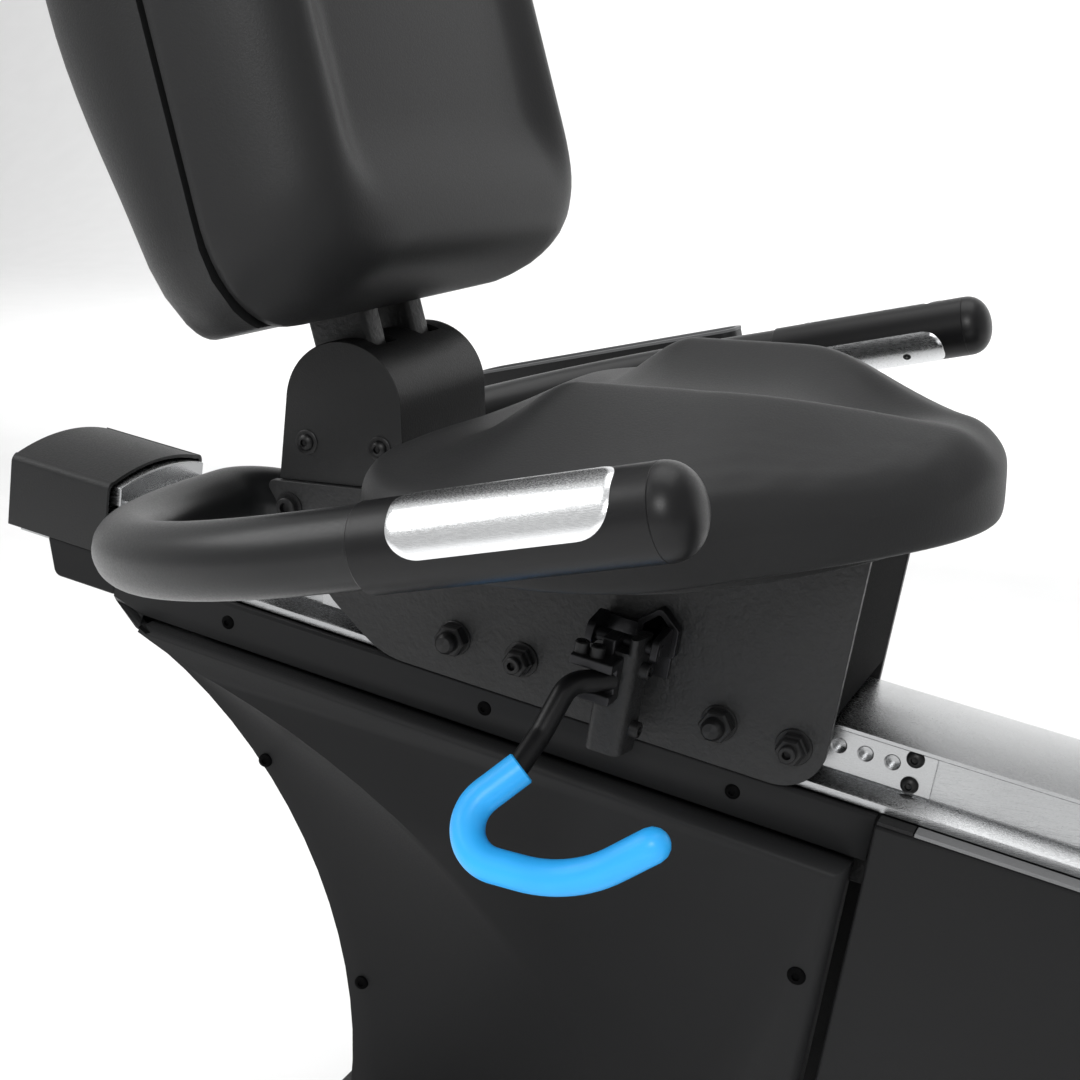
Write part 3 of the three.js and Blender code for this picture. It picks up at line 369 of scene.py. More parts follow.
def surface(name, colour, roughness, metallic=0.0, grain=500.0, bump=0.2, depth=0.3, mottle=0.08,
            patch=9.0, rough_span=0.06, wear=0.0, stretch=(1, 1, 1), coat=0.0, shine=0.3, pebble=0.0):
    """A moulded, painted or drawn surface: grain and pebble are features per metre."""
    material, nodes, links, shader = node_tree(name)
    shader.inputs["Metallic"].default_value = metallic
    shader.inputs["Coat Weight"].default_value = coat
    shader.inputs["Coat Roughness"].default_value = 0.25
    shader.inputs["Specular IOR Level"].default_value = shine
    where = nodes.new("ShaderNodeTexCoord").outputs["Object"]
    mapping = nodes.new("ShaderNodeMapping")
    mapping.inputs["Scale"].default_value = stretch
    links.new(where, mapping.inputs["Vector"])
    along = mapping.outputs["Vector"]

    tint = ranged(nodes, links, noise(nodes, links, where, patch, 4.0), 0.0, 1.0)
    mix = nodes.new("ShaderNodeMix")
    mix.data_type = "RGBA"
    mix.inputs["A"].default_value = (*[c * (1 - mottle) for c in colour], 1)
    mix.inputs["B"].default_value = (*[min(1.0, c * (1 + mottle)) for c in colour], 1)
    links.new(tint, mix.inputs["Factor"])
    paint = mix.outputs["Result"]
    if wear:
        edge = nodes.new("ShaderNodeNewGeometry").outputs["Pointiness"]
        worn = nodes.new("ShaderNodeMix")
        worn.data_type = "RGBA"
        worn.inputs["B"].default_value = (*[min(1.0, c * 2.2 + 0.02) for c in colour], 1)
        links.new(ranged(nodes, links, edge, 0.0, wear, 0.52, 0.62), worn.inputs["Factor"])
        links.new(paint, worn.inputs["A"])
        paint = worn.outputs["Result"]
    links.new(paint, shader.inputs["Base Color"])

    fine = noise(nodes, links, along, grain, 2.0, 0.6)
    gloss = ranged(nodes, links, fine, roughness - rough_span, roughness + rough_span)
    links.new(gloss, shader.inputs["Roughness"])
    height = fine
    if pebble:
        cells = nodes.new("ShaderNodeTexVoronoi")
        cells.feature = "SMOOTH_F1"
        cells.inputs["Scale"].default_value = pebble
        links.new(where, cells.inputs["Vector"])
        add = nodes.new("ShaderNodeMath")
        add.operation = "SUBTRACT"
        links.new(fine, add.inputs[0])
        links.new(cells.outputs["Distance"], add.inputs[1])
        height = add.outputs["Value"]
    relief = nodes.new("ShaderNodeBump")
    relief.inputs["Strength"].default_value = bump
    relief.inputs["Distance"].default_value = depth * MM
    links.new(height, relief.inputs["Height"])
    links.new(relief.outputs["Normal"], shader.inputs["Normal"])
    return material


VINYL = surface("upholstery_vinyl", (0.0165, 0.0167, 0.0172), 0.48, grain=1400, bump=0.22, depth=0.25,
                mottle=0.05, patch=7, pebble=700, shine=0.22)
SHELL = surface("textured_shell", (0.009, 0.0092, 0.0095), 0.44, grain=800, bump=0.6, depth=0.3, wear=0.25)
MOULDED = surface("moulded_shroud", (0.0084, 0.0086, 0.009), 0.5, grain=1100, bump=0.22, depth=0.15,
                  mottle=0.06, wear=0.25, shine=0.14)
MATT_COVER = surface("matt_cover", (0.005, 0.0051, 0.0053), 0.75, grain=900, bump=0.2, depth=0.15,
                     mottle=0.06, shine=0.03)
TRAY_RIM = surface("tray_rim", (0.14, 0.142, 0.145), 0.45, grain=900, bump=0.12, depth=0.1)
POWDER = surface("powder_coat", (0.013, 0.0132, 0.0136), 0.44, grain=260, bump=1.0, depth=0.6,
                 mottle=0.05, wear=0.3)
SATIN_TUBE = surface("satin_tube_paint", (0.0085, 0.0088, 0.0092), 0.36, grain=900, bump=0.18, depth=0.15,
                     mottle=0.08, coat=0.05)
GLOSS_BLACK = surface("gloss_grip", (0.003, 0.003, 0.0035), 0.38, grain=1300, bump=0.16, depth=0.1,
                      mottle=0.1, shine=0.32)
BLACK_STEEL = surface("black_oxide_steel", (0.02, 0.02, 0.0215), 0.34, metallic=0.75, grain=700, bump=0.2,
                      depth=0.12, mottle=0.15, wear=0.4)
FASTENER = surface("black_fastener", (0.0015, 0.0015, 0.0018), 0.42, grain=1500, bump=0.15,
                   depth=0.08, mottle=0.15, wear=0.5)
BRUSHED = surface("brushed_steel", (0.84, 0.85, 0.86), 0.24, metallic=1.0, grain=160, bump=0.3, depth=0.06,
                  mottle=0.06, rough_span=0.1, stretch=(1, 30, 30))
EXTRUDED = surface("drawn_aluminium", (0.38, 0.385, 0.39), 0.24, metallic=1.0, grain=90, bump=0.5,
                   depth=0.08, mottle=0.1, rough_span=0.1, stretch=(1.2, 40, 40))
ZINC = surface("zinc_plate", (0.42, 0.425, 0.43), 0.3, metallic=1.0, grain=300, bump=0.15, depth=0.05,
               mottle=0.06, stretch=(1, 20, 20))
BLUE = surface("blue_dipped_vinyl", (0.03, 0.42, 0.95), 0.4, grain=700, bump=0.12, depth=0.12,
               mottle=0.06, patch=20, coat=0.1)
# near-black, with almost no reflection: the screws' own black plus painted shade for the recessed screw holes,
# which the shrouds are not cut with
SCREW_BLACK_PAINTED_SHADE = surface("black_screw_painted_hole_shade", (0.0008, 0.0008, 0.0009), 0.6, grain=1500, bump=0.1, depth=0.05,
                      mottle=0.15, shine=0.04)
RUBBER = surface("rubber", (0.009, 0.009, 0.0095), 0.7, grain=900, bump=0.3, depth=0.2, mottle=0.12)
FOAM = surface("foam_sleeve", (0.01, 0.01, 0.011), 0.85, grain=500, bump=0.5, depth=0.4, pebble=380)
SEAL = surface("light_seal_strip", (0.17, 0.172, 0.175), 0.6, grain=700, bump=0.15, depth=0.1)
GLASS = surface("screen_glass", (0.004, 0.005, 0.007), 0.08, grain=60, bump=0.01, depth=0.02,
                rough_span=0.02, coat=0.5, shine=0.5)
KEYS = surface("key_plastic", (0.16, 0.165, 0.17), 0.45, grain=900, bump=0.12, depth=0.1)


# ------------------------------------------------------------------ fasteners
def button_screw(form, at, axis, radius=4.5, height=2.6):
    """A low domed screw head with a round socket."""
    dome = [(radius * math.cos(a), height * math.sin(a)) for a in np.radians(np.linspace(0, 62, 6))]
    socket = [(radius * 0.42, height * 0.9), (radius * 0.4, height * 0.25), (0, 0.2)]
    form.lathe([(radius, -1.0)] + dome + socket, at, axis, 24)


def socket_screw(form, at, axis, radius=4.2, height=6.0):
    """A cap screw head with a round socket."""
    form.lathe([(radius, -0.5), (radius, height - 0.6), (radius - 0.6, height), (radius * 0.55, height),
                (radius * 0.5, height - 3), (0, height - 3.2)], at, axis, 24)


def hex_prism(form, at, axis, radius, low, high):
    """A hexagon head or nut with its outer corners taken off."""
    axis = Vector(axis).normalized()
    side = axis.orthogonal().normalized()
    other = axis.cross(side)
    rings = []
    for along, size in ((low, 1.0), (high - 1.0, 1.0), (high, 0.9)):
        ring = []
        for k in range(6):
            angle = math.radians(60 * k + 10)
            ring.append(Vector(at) + axis * along
                        + radius * size * (math.cos(angle) * side + math.sin(angle) * other))
        rings.append(ring)
    form.rings(rings)


# ------------------------------------------------------------------ rail and its fittings
RAIL_ENDS = (-532, 520)
RAIL_EDGE = (43, -176.5)
RAIL_CROWN = -172.5
ROLLER_W = -190.4
INDEX_PITCH = 15.5
INDEX_COUNT = 23
INDEX_FRONT_U = 70
INDEX_FACE = -38.3                  # outer face of the index plate
CAP_ENDS = (-541, -461)


def crown(half, edge, top, steps=20):
    """The crowned top of a section, from the right edge over to the left edge."""
    rise = top - edge
    radius = (half * half + rise * rise) / (2 * rise)
    sweep = math.degrees(math.asin(half / radius))
    return arc(0, top - radius, radius, 90 - sweep, 90 + sweep, steps)


def seat_rail():
    half, edge = RAIL_EDGE
    right = [(50, -216.3), (50, -211.9), (49, -210.9), (37, -206.6), (36, -205.5), (36, -180.0),
             (36.6, -179.3), (42.4, -179.2)]
    top = [(half, -178.6)] + crown(half, edge, RAIL_CROWN) + [(-half, -178.6)]
    section = right + top + [(-y, w) for y, w in reversed(right)]
    bore = [(32, -212.3), (32, -179.2), (-32, -179.2), (-32, -212.3)]
    form = Form()
    form.prism(section, *RAIL_ENDS, axis="x", caps=OPEN)
    form.prism(bore, *RAIL_ENDS, axis="x", caps=OPEN)
    return make("seat_rail_extrusion", form, RAIL, EXTRUDED, "frame", ["seat_rail"], 30)


def index_plate(rail):
    plate = Form().block((-300, 94), (INDEX_FACE, INDEX_FACE + 2), (-205, -181))
    piece = make("index_plate_drilled", plate, RAIL, ZINC, "frame", ["index_plate"])
    holes = Form()
    for step in range(INDEX_COUNT):
        u = INDEX_FRONT_U - step * INDEX_PITCH
        holes.lathe([(4, -3), (4, 1.6), (4.9, 2.4), (4.9, 5)], (u, -36, ROLLER_W), (0, -1, 0), 24)
    carve(piece, holes, RAIL)
    # the same cutters sink a pocket in the rail's wall behind each hole, for the pin's tip
    carve(rail, holes, RAIL)
    screws = Form()
    for w in (-184.5, -200.5):
        button_screw(screws, (82, INDEX_FACE, w), (0, -1, 0), 5.2, 3.4)
    make("index_plate_screws", screws, RAIL, FASTENER, "frame")


def rail_end_cap():
    def section(inset):
        half = 52.5 - inset
        top = crown(half - 5, -164.5 - inset, -157.5 - inset)
        side = rounded([(half, -214), (half, -165 - inset, 6), (half - 9, -163 - inset)], 12)[:-1]
        return side + top + [(-y, w) for y, w in reversed(side)]

    outer, inner = section(0), section(2.2)
    form = Form().prism(outer + inner[::-1], *CAP_ENDS, axis="x", caps=OPEN)
    for u in CAP_ENDS:
        form.sheet([[(u, *p) for p in outer], [(u, *p) for p in inner]])
    form.prism(section(0.2), CAP_ENDS[0], CAP_ENDS[0] + 2.5, axis="x")
    soften(make("rail_end_cap_moulding", form, RAIL, SHELL, "frame", ["rail_end_cap"]), 0.7, 2)

    stop = [(46, -181)] + crown(46, -168, -161.5) + [(-46, -181)]
    lining = Form().prism(stop, -470, -455, axis="x")
    soften(make("rail_end_stop", lining, RAIL, EXTRUDED, "frame"), 1.0, 2)
    block = Form().prism(rounded([(-508, -214.2), (-500, -240, 6), (-450, -240), (-450, -214.2)]), -52, 52)
    soften(make("rail_end_block", block, RAIL, MOULDED, "frame", ["rail_end_bracket"]), 2.0, 3)


rail_piece = seat_rail()
index_plate(rail_piece)
rail_end_cap()


# ------------------------------------------------------------------ shrouds
SEAM_U = 71
FLOOR_EDGE = -515                   # lower edge of the shrouds, from the grip point
CREASE_U = -416                     # where the crease in the rear shroud starts
SHROUD_TOP_W = -217.4               # top of the rear shroud, just under the rail
PANEL_TOP_W = -247.5                # top of the rear shroud's side panels
PANEL_HALF = 70.0
STRIP_HALF = 56.5                   # half width over the flanges along the rail
BAND_HALF = 47.0                    # half width of the hollow back
EDGE_ROWS = 18


def skin_half(name, outline, half, sign, replaces, edge, open_edges):
    """One side of a shroud: its outer face and its rim back to the middle plane.
    The rim is left open at open_edges, each one the number of the outline corner it starts at."""
    form = Form()
    count = len(outline)
    outer = [(x, sign * half, z) for x, z in outline]
    middle = [(x, sign * 0.2, z) for x, z in outline]
    faces = [range(count)]
    for k in range(count):
        after = (k + 1) % count
        if k not in open_edges:
            faces.append([k, after, count + after, count + k])
    form.add(outer + middle, faces)
    piece = make(name, form, GRIP, MOULDED, "frame", replaces)
    soften(piece, edge, 5, 50)
    thicken(piece, 3.0)


def rear_edge():
    low = math.degrees(math.asin((FLOOR_EDGE + 450) / 300))
    return [(-486, -168)] + arc(-612, -450, 300, 62, low, EDGE_ROWS - 1)


def crease_edge():
    low = math.degrees(math.asin((FLOOR_EDGE + 766) / 600))
    return [rail_to_grip(CREASE_U, PANEL_TOP_W)] + arc(-607, -766, 600, 71.5, low, EDGE_ROWS - 1)


def rear_shroud(side, sign):
    form = Form()
    rear, crease = rear_edge(), crease_edge()
    panel, band, strip, shelf = (sign * half for half in (PANEL_HALF, BAND_HALF, STRIP_HALF, 52.0))
    step = sign * (STRIP_HALF - 1.6)
    ledge = sign * 50.5

    # hollow back, then the scooped side that widens out to the crease
    back_half = (0.2, BAND_HALF * 0.6, BAND_HALF - 4, BAND_HALF - 1.2, BAND_HALF)
    form.sheet([[(x, sign * y, z) for y in back_half] for x, z in rear])
    scoop = []
    for (rx, rz), (cx, cz) in zip(rear, crease):
        row = []
        for t in np.arange(13) / 12:
            y = band + (panel - band) * (0.25 * t + 0.75 * t * t)
            row.append((rx + (cx - rx) * t, y, rz + (cz - rz) * t))
        scoop.append(row)
    form.sheet(scoop)

    # side panel, rolled over at its top and front edges down to the groove's floor
    roll = 9.0
    front_u = SEAM_U - 7
    foot_x = -20

    def panel_edge(reach):
        """Top rear, top front and bottom front corners of the panel, `reach` out from its flat face."""
        return [rail_to_grip(CREASE_U, PANEL_TOP_W + (reach - roll) * 0.35),
                rail_to_grip(front_u - roll + reach, PANEL_TOP_W - roll + reach),
                (foot_x - roll + reach, FLOOR_EDGE)]

    top_rear, top_front, foot = panel_edge(0)
    form.patch(*[(p, panel) for p in [top_rear] + crease[1:] + [foot, top_front]])
    rows = []
    for angle in np.radians(np.arange(0, 91, 15)):
        y = sign * (PANEL_HALF - roll * (1 - math.cos(angle)))
        rows.append([(x, y, z) for x, z in panel_edge(roll * math.sin(angle))])
    rows.append([(x, shelf, z) for x, z in panel_edge(roll)])
    form.sheet(rows)

    # flange along the rail, above the groove, with a small step at its top
    groove_w = PANEL_TOP_W + 3.0
    front = SEAM_U - 0.3
    flange = [rail_to_grip(u, w) for u, w in ((-446, -219), (front, -219), (front, groove_w),
                                              (-424, groove_w), (-447, -238))]
    top = [rail_to_grip(u, SHROUD_TOP_W) for u in (-448, front)]
    form.patch(*[(p, strip) for p in flange])
    form.patch((flange[3], strip), (flange[2], strip), (flange[2], shelf), (flange[3], shelf))
    form.patch((flange[0], strip), (flange[1], strip), (top[1], step), (top[0], step))
    form.patch((top[0], step), (top[1], step), (top[1], ledge), (top[0], ledge))

    # rear tip between the flange and the hollow back
    corner = (rear[0], band)
    form.patch((flange[0], strip), (flange[4], strip), corner)
    form.patch((flange[4], strip), (flange[3], strip), corner)
    form.patch((flange[3], strip), (crease[0], panel), corner)
    form.patch((rail_to_grip(-449, SHROUD_TOP_W), ledge), (top[0], step), (flange[0], strip), corner)
    piece = make(f"rear_shroud_{side}_moulding", form, GRIP, MOULDED, "frame", [f"rear_shroud_{side}"],
                 28)
    thicken(piece, 2.4)


def shroud_screws(side, sign):
    screws = Form()
    facing = (0, sign, 0)
    for u in (-357, -171, -11):
        x, z = rail_to_grip(u, -230)
        button_screw(screws, (x, sign * STRIP_HALF, z), facing, 4.6, 1.8)
    x, z = rail_to_grip(59, -319)
    button_screw(screws, (x - 9, sign * PANEL_HALF, z), facing, 5.6, 2.2)
    for x, z in ((-371, -263), (-303, -409)):
        button_screw(screws, (x, sign * 49, z), (0.25, sign, 0), 4.6, 1.6)
    # the shroud screws carry painted shade: their near-black, unreflective colour stands in for the dark of
    # recessed holes round them
    make(f"shroud_screws_{side}", screws, GRIP, SCREW_BLACK_PAINTED_SHADE, "frame")


CRANK_AT = (700, 0, -270)           # the crank axle, from the grip point
LOW_HALF, HOUSING_HALF = 62.0, 85.0
LOW_PANEL = [rail_to_grip(SEAM_U + 1, -219.6), (-12, FLOOR_EDGE), (480, FLOOR_EDGE), (480, -300),
             rail_to_grip(470, -219.6)]
HOUSING = [(405, FLOOR_EDGE), (975, FLOOR_EDGE, 40), (1066, -360, 120), (1040, -180, 130), (880, -10, 90),
           (700, 45, 60), (560, -10, 90), (405, -225, 60)]


def rail_strip(name, sign, start, end, material):
    """A thin strip on top of the front shroud, along the foot of the rail."""
    high, low = -217.2, -219.3
    corners = [rail_to_grip(u, w) for u, w in ((start, high), (end, high), (end, low), (start, low))]
    make(name, Form().prism(corners, *span(sign, 50.6, 60.5)), GRIP, material, "frame")


def front_shroud(side, sign):
    skin_half(f"front_shroud_{side}_low_panel", LOW_PANEL, LOW_HALF, sign, [], 3.0, (1, 2, 3))
    skin_half(f"front_shroud_{side}_housing", rounded(HOUSING, 6), HOUSING_HALF, sign,
              [f"front_shroud_{side}"], 14.0, (0,))
    cover = Form().lathe([(64, 84), (64, 86.5), (60, 89), (30, 90.5), (24, 90.5), (22, 88), (22, 84)],
                         CRANK_AT, (0, sign, 0), 64)
    soften(make(f"crank_cover_{side}", cover, GRIP, SHELL, "frame"), 0.5, 2)
    rail_strip(f"rail_seal_{side}", sign, 94, 430, SEAL)
    rail_strip(f"rail_seal_end_{side}", sign, SEAM_U + 2, 93, RUBBER)


for side_name, side_sign in SIDES:
    rear_shroud(side_name, side_sign)
    shroud_screws(side_name, side_sign)
    front_shroud(side_name, side_sign)


# ------------------------------------------------------------------ seat carriage
PLATE_Y = (54.2, 59.2)
AXLES_U = {"rear_fixed": -196, "rear_eccentric": -151, "front_fixed": -26, "front_eccentric": 18.6}


def carriage_plate(side, sign):
    low = -216.5
    top_x = rail_to_grip(37, -64.8)[0]
    outline = rounded([(-356, -70, 4), (*rail_to_grip(-284, -190), 60), (*rail_to_grip(-243, low), 50),
                       (*rail_to_grip(37, low), 28), (top_x, -74.8), (-245, -74.8), (-249, -70)], 5)
    form = Form().prism(outline, *span(sign, *PLATE_Y))
    piece = make(f"carriage_plate_{side}_coated", form, GRIP, POWDER, "carriage", [f"carriage_plate_{side}"])
    soften(piece, 0.6, 2)

    hardware = Form()
    out = (0, sign, 0)
    for name, u in AXLES_U.items():
        x, z = rail_to_grip(u, ROLLER_W)
        # a shank through the plate, a washer, then a hexagon nut with the stud's end through it
        face = (x, sign * PLATE_Y[1], z)
        hardware.lathe([(5, -19), (5, -4.8)], face, out, 24)
        hardware.lathe([(10.8, -0.2), (10.8, 1.0), (10.4, 1.4), (5, 1.4)], face, out, 36)
        if "fixed" in name:
            hex_prism(hardware, face, out, 10.0, 1.2, 9.0)
            hardware.lathe([(6.6, 8.5), (6.6, 12.8), (6.2, 14), (4.6, 15.6), (0, 16)], face, out, 28)
        else:
            hex_prism(hardware, face, out, 9.2, 1.2, 6.0)
            hex_prism(hardware, face, out, 8.2, 5.8, 11.0)
            hardware.lathe([(5.0, 10.5), (5.0, 14.4), (4.4, 15), (2.6, 15), (2.4, 11.5), (0, 11.3)],
                           face, out, 28)
    make(f"carriage_bolts_{side}", hardware, GRIP, FASTENER, "carriage")


def front_cover():
    outline = [rail_to_grip(u, w) for u, w in ((37, -75), (37, -168.5), (33, -168.5), (33, -75))]
    form = Form().prism(outline, -53.9, 53.9)
    soften(make("carriage_front_cover_panel", form, GRIP, MATT_COVER, "carriage", ["carriage_front_cover"]), 1.0, 2)


PAN_INSET = 32.0
SEAT = {"nose": 82.0, "shoulder": -108.0, "rear": -226.0, "half": 228.0, "corner": 90.0, "bottom": -68.0}


def bezier(p0, p1, p2, p3, steps):
    t = np.linspace(0, 1, steps + 1)[:-1, None]
    p0, p1, p2, p3 = (np.array(p, float) for p in (p0, p1, p2, p3))
    return list((1 - t) ** 3 * p0 + 3 * (1 - t) ** 2 * t * p1 + 3 * (1 - t) * t ** 2 * p2 + t ** 3 * p3)


def seat_plan(inset=0.0):
    """The seat seen from above: a blunt nose, wide hips and round rear corners."""
    half = SEAT["half"] - inset
    nose = SEAT["nose"] - inset
    rear = SEAT["rear"] + inset
    corner = SEAT["corner"] - inset / 2
    hip = SEAT["shoulder"]
    flank = (-26, -half * 0.825)
    right = bezier((nose, 0), (nose, -half * 0.27), (22, -half * 0.56), flank, 26)
    right += bezier(flank, (-48, -half * 0.947), (-74, -half), (hip, -half), 16)
    right += [np.array((hip, -half))]
    right += [np.array(p) for p in arc(rear + corner, -half + corner, corner, -90, -180, 18)]
    left = [np.array((p[0], -p[1])) for p in reversed(right[1:])]
    middle = [np.array((rear, y)) for y in np.linspace(-half + corner, half - corner, 12)[1:-1]]
    return np.array(right + middle + left)


def step_between(x, low, high):
    t = np.clip((x - low) / (high - low), 0, 1)
    return t * t * (3 - 2 * t)


def seat_top(x, y, half):
    """Height of the seat's upper face: two thigh lobes that sink and meet at the nose."""
    across = abs(y)
    # how far out each lobe's crest stands, how it lifts at the rear, and its height
    crest_y = 90 - 72 * step_between(x, -60, 50)
    rise = step_between(x, -194, -130)
    crest = -21 + 33 * rise - 25 * step_between(x, -56, 76) - 8 * step_between(x, 56, 82)
    rim = -26 - 3 * rise
    # outside the crest the face falls to the rim, inside it dips to the middle valley
    if across > crest_y:
        t = min(1.0, (across - crest_y) / max(half - crest_y, 1))
        return crest + (rim - crest) * t ** 1.25
    t = across / crest_y
    valley = 18 * (1 - step_between(x, -15, 54)) * rise + 1.5
    return crest - valley * (1 - t ** 2.4)


def cushion_rings(outline, centre, levels):
    """Rings of a crowned form: levels are (share of the way out, inset, height function)."""
    rings = []
    centre = np.array(centre, float)
    for share, inset, height in levels:
        ring = []
        for p in outline:
            out = p - centre
            length = np.linalg.norm(out)
            q = centre + out * (share * (length - inset) / length)
            ring.append((q[0], q[1], height(q)))
        rings.append(ring)
    return rings


def seat_cushion():
    plan = seat_plan()
    centre = (-100.0, 0.0)

    def half_at(x):
        near = plan[np.argmin(abs(plan[:len(plan) // 2, 0] - x))]
        return max(abs(near[1]), 40.0)

    def top(q):
        return seat_top(q[0], q[1], half_at(np.clip(q[0], SEAT["rear"] + 60, SEAT["nose"] - 14)))

    radius = 16.0
    levels = [(share, radius, top) for share in np.concatenate([[0.01], np.linspace(0.04, 1.0, 44)])]
    for angle in (15, 30, 45, 60, 75, 90):
        a = math.radians(angle)
        levels.append((1.0, radius * (1 - math.sin(a)), lambda q, a=a: top(q) - radius * (1 - math.cos(a))))
    bottom = SEAT["bottom"]
    under = ((0.0, 26), (0.0, 12), (0.4, 6), (1.4, 3), (3.0, 1.2), (5.5, 0.3), (9.0, 0.0), (30, 0.0))
    for inset, height in under:
        levels.append((1.0, inset, lambda q, height=height: bottom + height))
    form = Form().rings(cushion_rings(plan, centre, levels))
    piece = make("seat_cushion_moulded", form, GRIP, VINYL, "carriage", ["seat_cushion"], 60)
    smooth = piece.modifiers.new("relaxed", "SMOOTH")
    smooth.factor = 0.5
    smooth.iterations = 2
    rounder = piece.modifiers.new("rounder", "SUBSURF")
    rounder.levels = rounder.render_levels = 1

    pan = Form().prism([tuple(p) for p in seat_plan(PAN_INSET)], -74.5, -68.3, axis="z")
    pan.block((-225, 14), (-53.9, -50.2), (-94.5, -74)).block((-225, 14), (50.2, 53.9), (-94.5, -74))
    soften(make("seat_pan_pressed", pan, GRIP, POWDER, "carriage", ["seat_pan"]), 1.2, 2)


# ------------------------------------------------------------------ backrest and its pivot
ARCH_R = 40.0
ARCH_HALF = 56.0


def pivot_cover():
    def arch(inset, low):
        top = arc(-300, -22, ARCH_R - inset, 4, 176, 40)
        return [(-259 - inset, low)] + top + [(-346.5 + inset, low)]
    outer = arch(0, -69.7)
    body = Form().prism(outer, -ARCH_HALF, ARCH_HALF)
    piece = make("pivot_cover_moulding", body, GRIP, SHELL, "carriage", ["pivot_cover"])
    hollow = Form().prism(arch(3, -75), -ARCH_HALF + 3, ARCH_HALF - 3)
    carve(piece, hollow, GRIP)
    slots = Form()
    for _, sign in SIDES:
        wedge = [PIVOT_AT] + arc(*PIVOT_AT, 56, 66, 152, 16)
        slots.prism(wedge, *span(sign, 15.5, 39.5))
    carve(piece, slots, GRIP)
    soften(piece, 1.1, 3, 40)
    screws = Form()
    washer = [(7.6, -0.4), (7.6, 0.7), (7, 1.1), (4, 1.1)]
    for _, sign in SIDES:
        facing = (0, sign, 0)
        for x in (-326, -275):
            screws.lathe(washer, (x, sign * ARCH_HALF, -45), facing, 32)
            button_screw(screws, (x, sign * (ARCH_HALF + 1), -45), facing, 5.4, 3.2)
        x, z = -338, -86
        screws.lathe([(9, -0.2), (9, 1.2), (5, 1.3)], (x, sign * PLATE_Y[1], z), facing, 32)
        socket_screw(screws, (x, sign * (PLATE_Y[1] + 1), z), facing, 6.4, 5.0)
    make("pivot_screws", screws, GRIP, FASTENER, "carriage")


def backrest_uprights():
    bars = Form()
    for _, sign in SIDES:
        near, far = span(sign, 17.5, 37.5)
        section = rounded([(-20, near, 3), (20, near, 3), (20, far, 3), (-20, far, 3)], 30)
        bars.prism(section, -4, 430, axis="z")
    bars.lathe([(15, -42), (15, 42)], (0, 0, 0), (0, 1, 0), 40)
    bars.lathe([(8, -49.5), (8, 49.5)], (0, 0, 0), (0, 1, 0), 32)
    bars.block((4, 20), (-30, 30), (120, 170)).block((4, 20), (-30, 30), (330, 380))
    soften(make("backrest_uprights_coated", bars, BACK, POWDER, "backrest", ["backrest_uprights"],
                25), 0.5, 2)


BACK_HALF = 185.0
BACK_LOW, BACK_HIGH = 52.0, 552.0
SEAM_X = 22.0
FRONT_X = 97.5
BACK_CORNER = 56.0                  # radius of the shell's lower corners
BACK_SHOULDER = 70.0                # radius of its upper corners
SHELL_POWER = 2 / 2.6               # superellipse power of the shell's bulge
FACE_INSET = 50.0                   # where the cushion's border gives way to its front face
RING_POINTS = 176


def back_outline(inset=0.0):
    half, low, high = BACK_HALF - inset, BACK_LOW + inset, BACK_HIGH - inset
    corner = 58.0 - inset * 0.3
    return np.array(rounded([(-half, low, corner), (half, low, corner), (half * 0.93, high, corner + 25),
                             (-half * 0.93, high, corner + 25)], 5))


def resampled(outline, count):
    """The closed outline with evenly spaced points."""
    ring = np.vstack([outline, outline[:1]])
    run = np.concatenate([[0], np.cumsum(np.linalg.norm(np.diff(ring, axis=0), axis=1))])
    at = np.linspace(0, run[-1], count + 1)[:-1]
    return np.column_stack([np.interp(at, run, ring[:, 0]), np.interp(at, run, ring[:, 1])])


def backrest_cushion():
    centre = np.array((0.0, (BACK_LOW + BACK_HIGH) / 2))
    panel_low, panel_high, panel_half, panel_depth = 148.0, 488.0, 112.0, 12.5
    side_slope, low_slope, high_slope = 38.0, 52.0, 44.0

    def face(q):
        """Distance of the front face: a raised border round a hollowed panel."""
        side_out = (abs(q[0]) - panel_half) / side_slope
        end_out = max((panel_low - q[1]) / low_slope, (q[1] - panel_high) / high_slope)
        if side_out > 0 and end_out > 0:
            reach = math.hypot(side_out, end_out)
        else:
            reach = max(side_out, end_out)
        border = step_between(reach, -0.15, 0.9)
        lumbar = 3.5 * math.exp(-((q[1] - 235) / 90) ** 2) * (1 - (q[0] / 150) ** 2)
        return FRONT_X - 0.8 - (panel_depth - lumbar) * (1 - border)

    # from the seam forward along the side, round the ridge, then in over the front face
    seam = [(30.0, SEAM_X + 0.2), (1.5, SEAM_X + 0.2), (0.2, SEAM_X + 1.6), (0.0, SEAM_X + 6)]
    wall = [(1.5, 40.0), (5.0, 56.0), (9.5, 67.0)]
    ridge = [(12.5, 73.5), (16.5, 80.5), (21.5, 86.8), (27.5, 91.8), (34.5, 95.2), (42.0, 96.6)]
    rings = []
    for inset, x in seam + wall + ridge:
        ring = resampled(back_outline(inset), RING_POINTS)
        rings.append([(x, p[0], p[1]) for p in ring])
    last = resampled(back_outline(FACE_INSET), RING_POINTS)
    for share in np.linspace(1.0, 0.03, 34):
        ring = [centre + (p - centre) * share for p in last]
        rings.append([(face(q), q[0], q[1]) for q in ring])
    form = Form().rings(rings)
    piece = make("backrest_cushion_moulded", form, BACK, VINYL, "backrest", ["backrest_cushion"],
                 70)
    smooth = piece.modifiers.new("relaxed", "SMOOTH")
    smooth.factor = 0.5
    smooth.iterations = 4


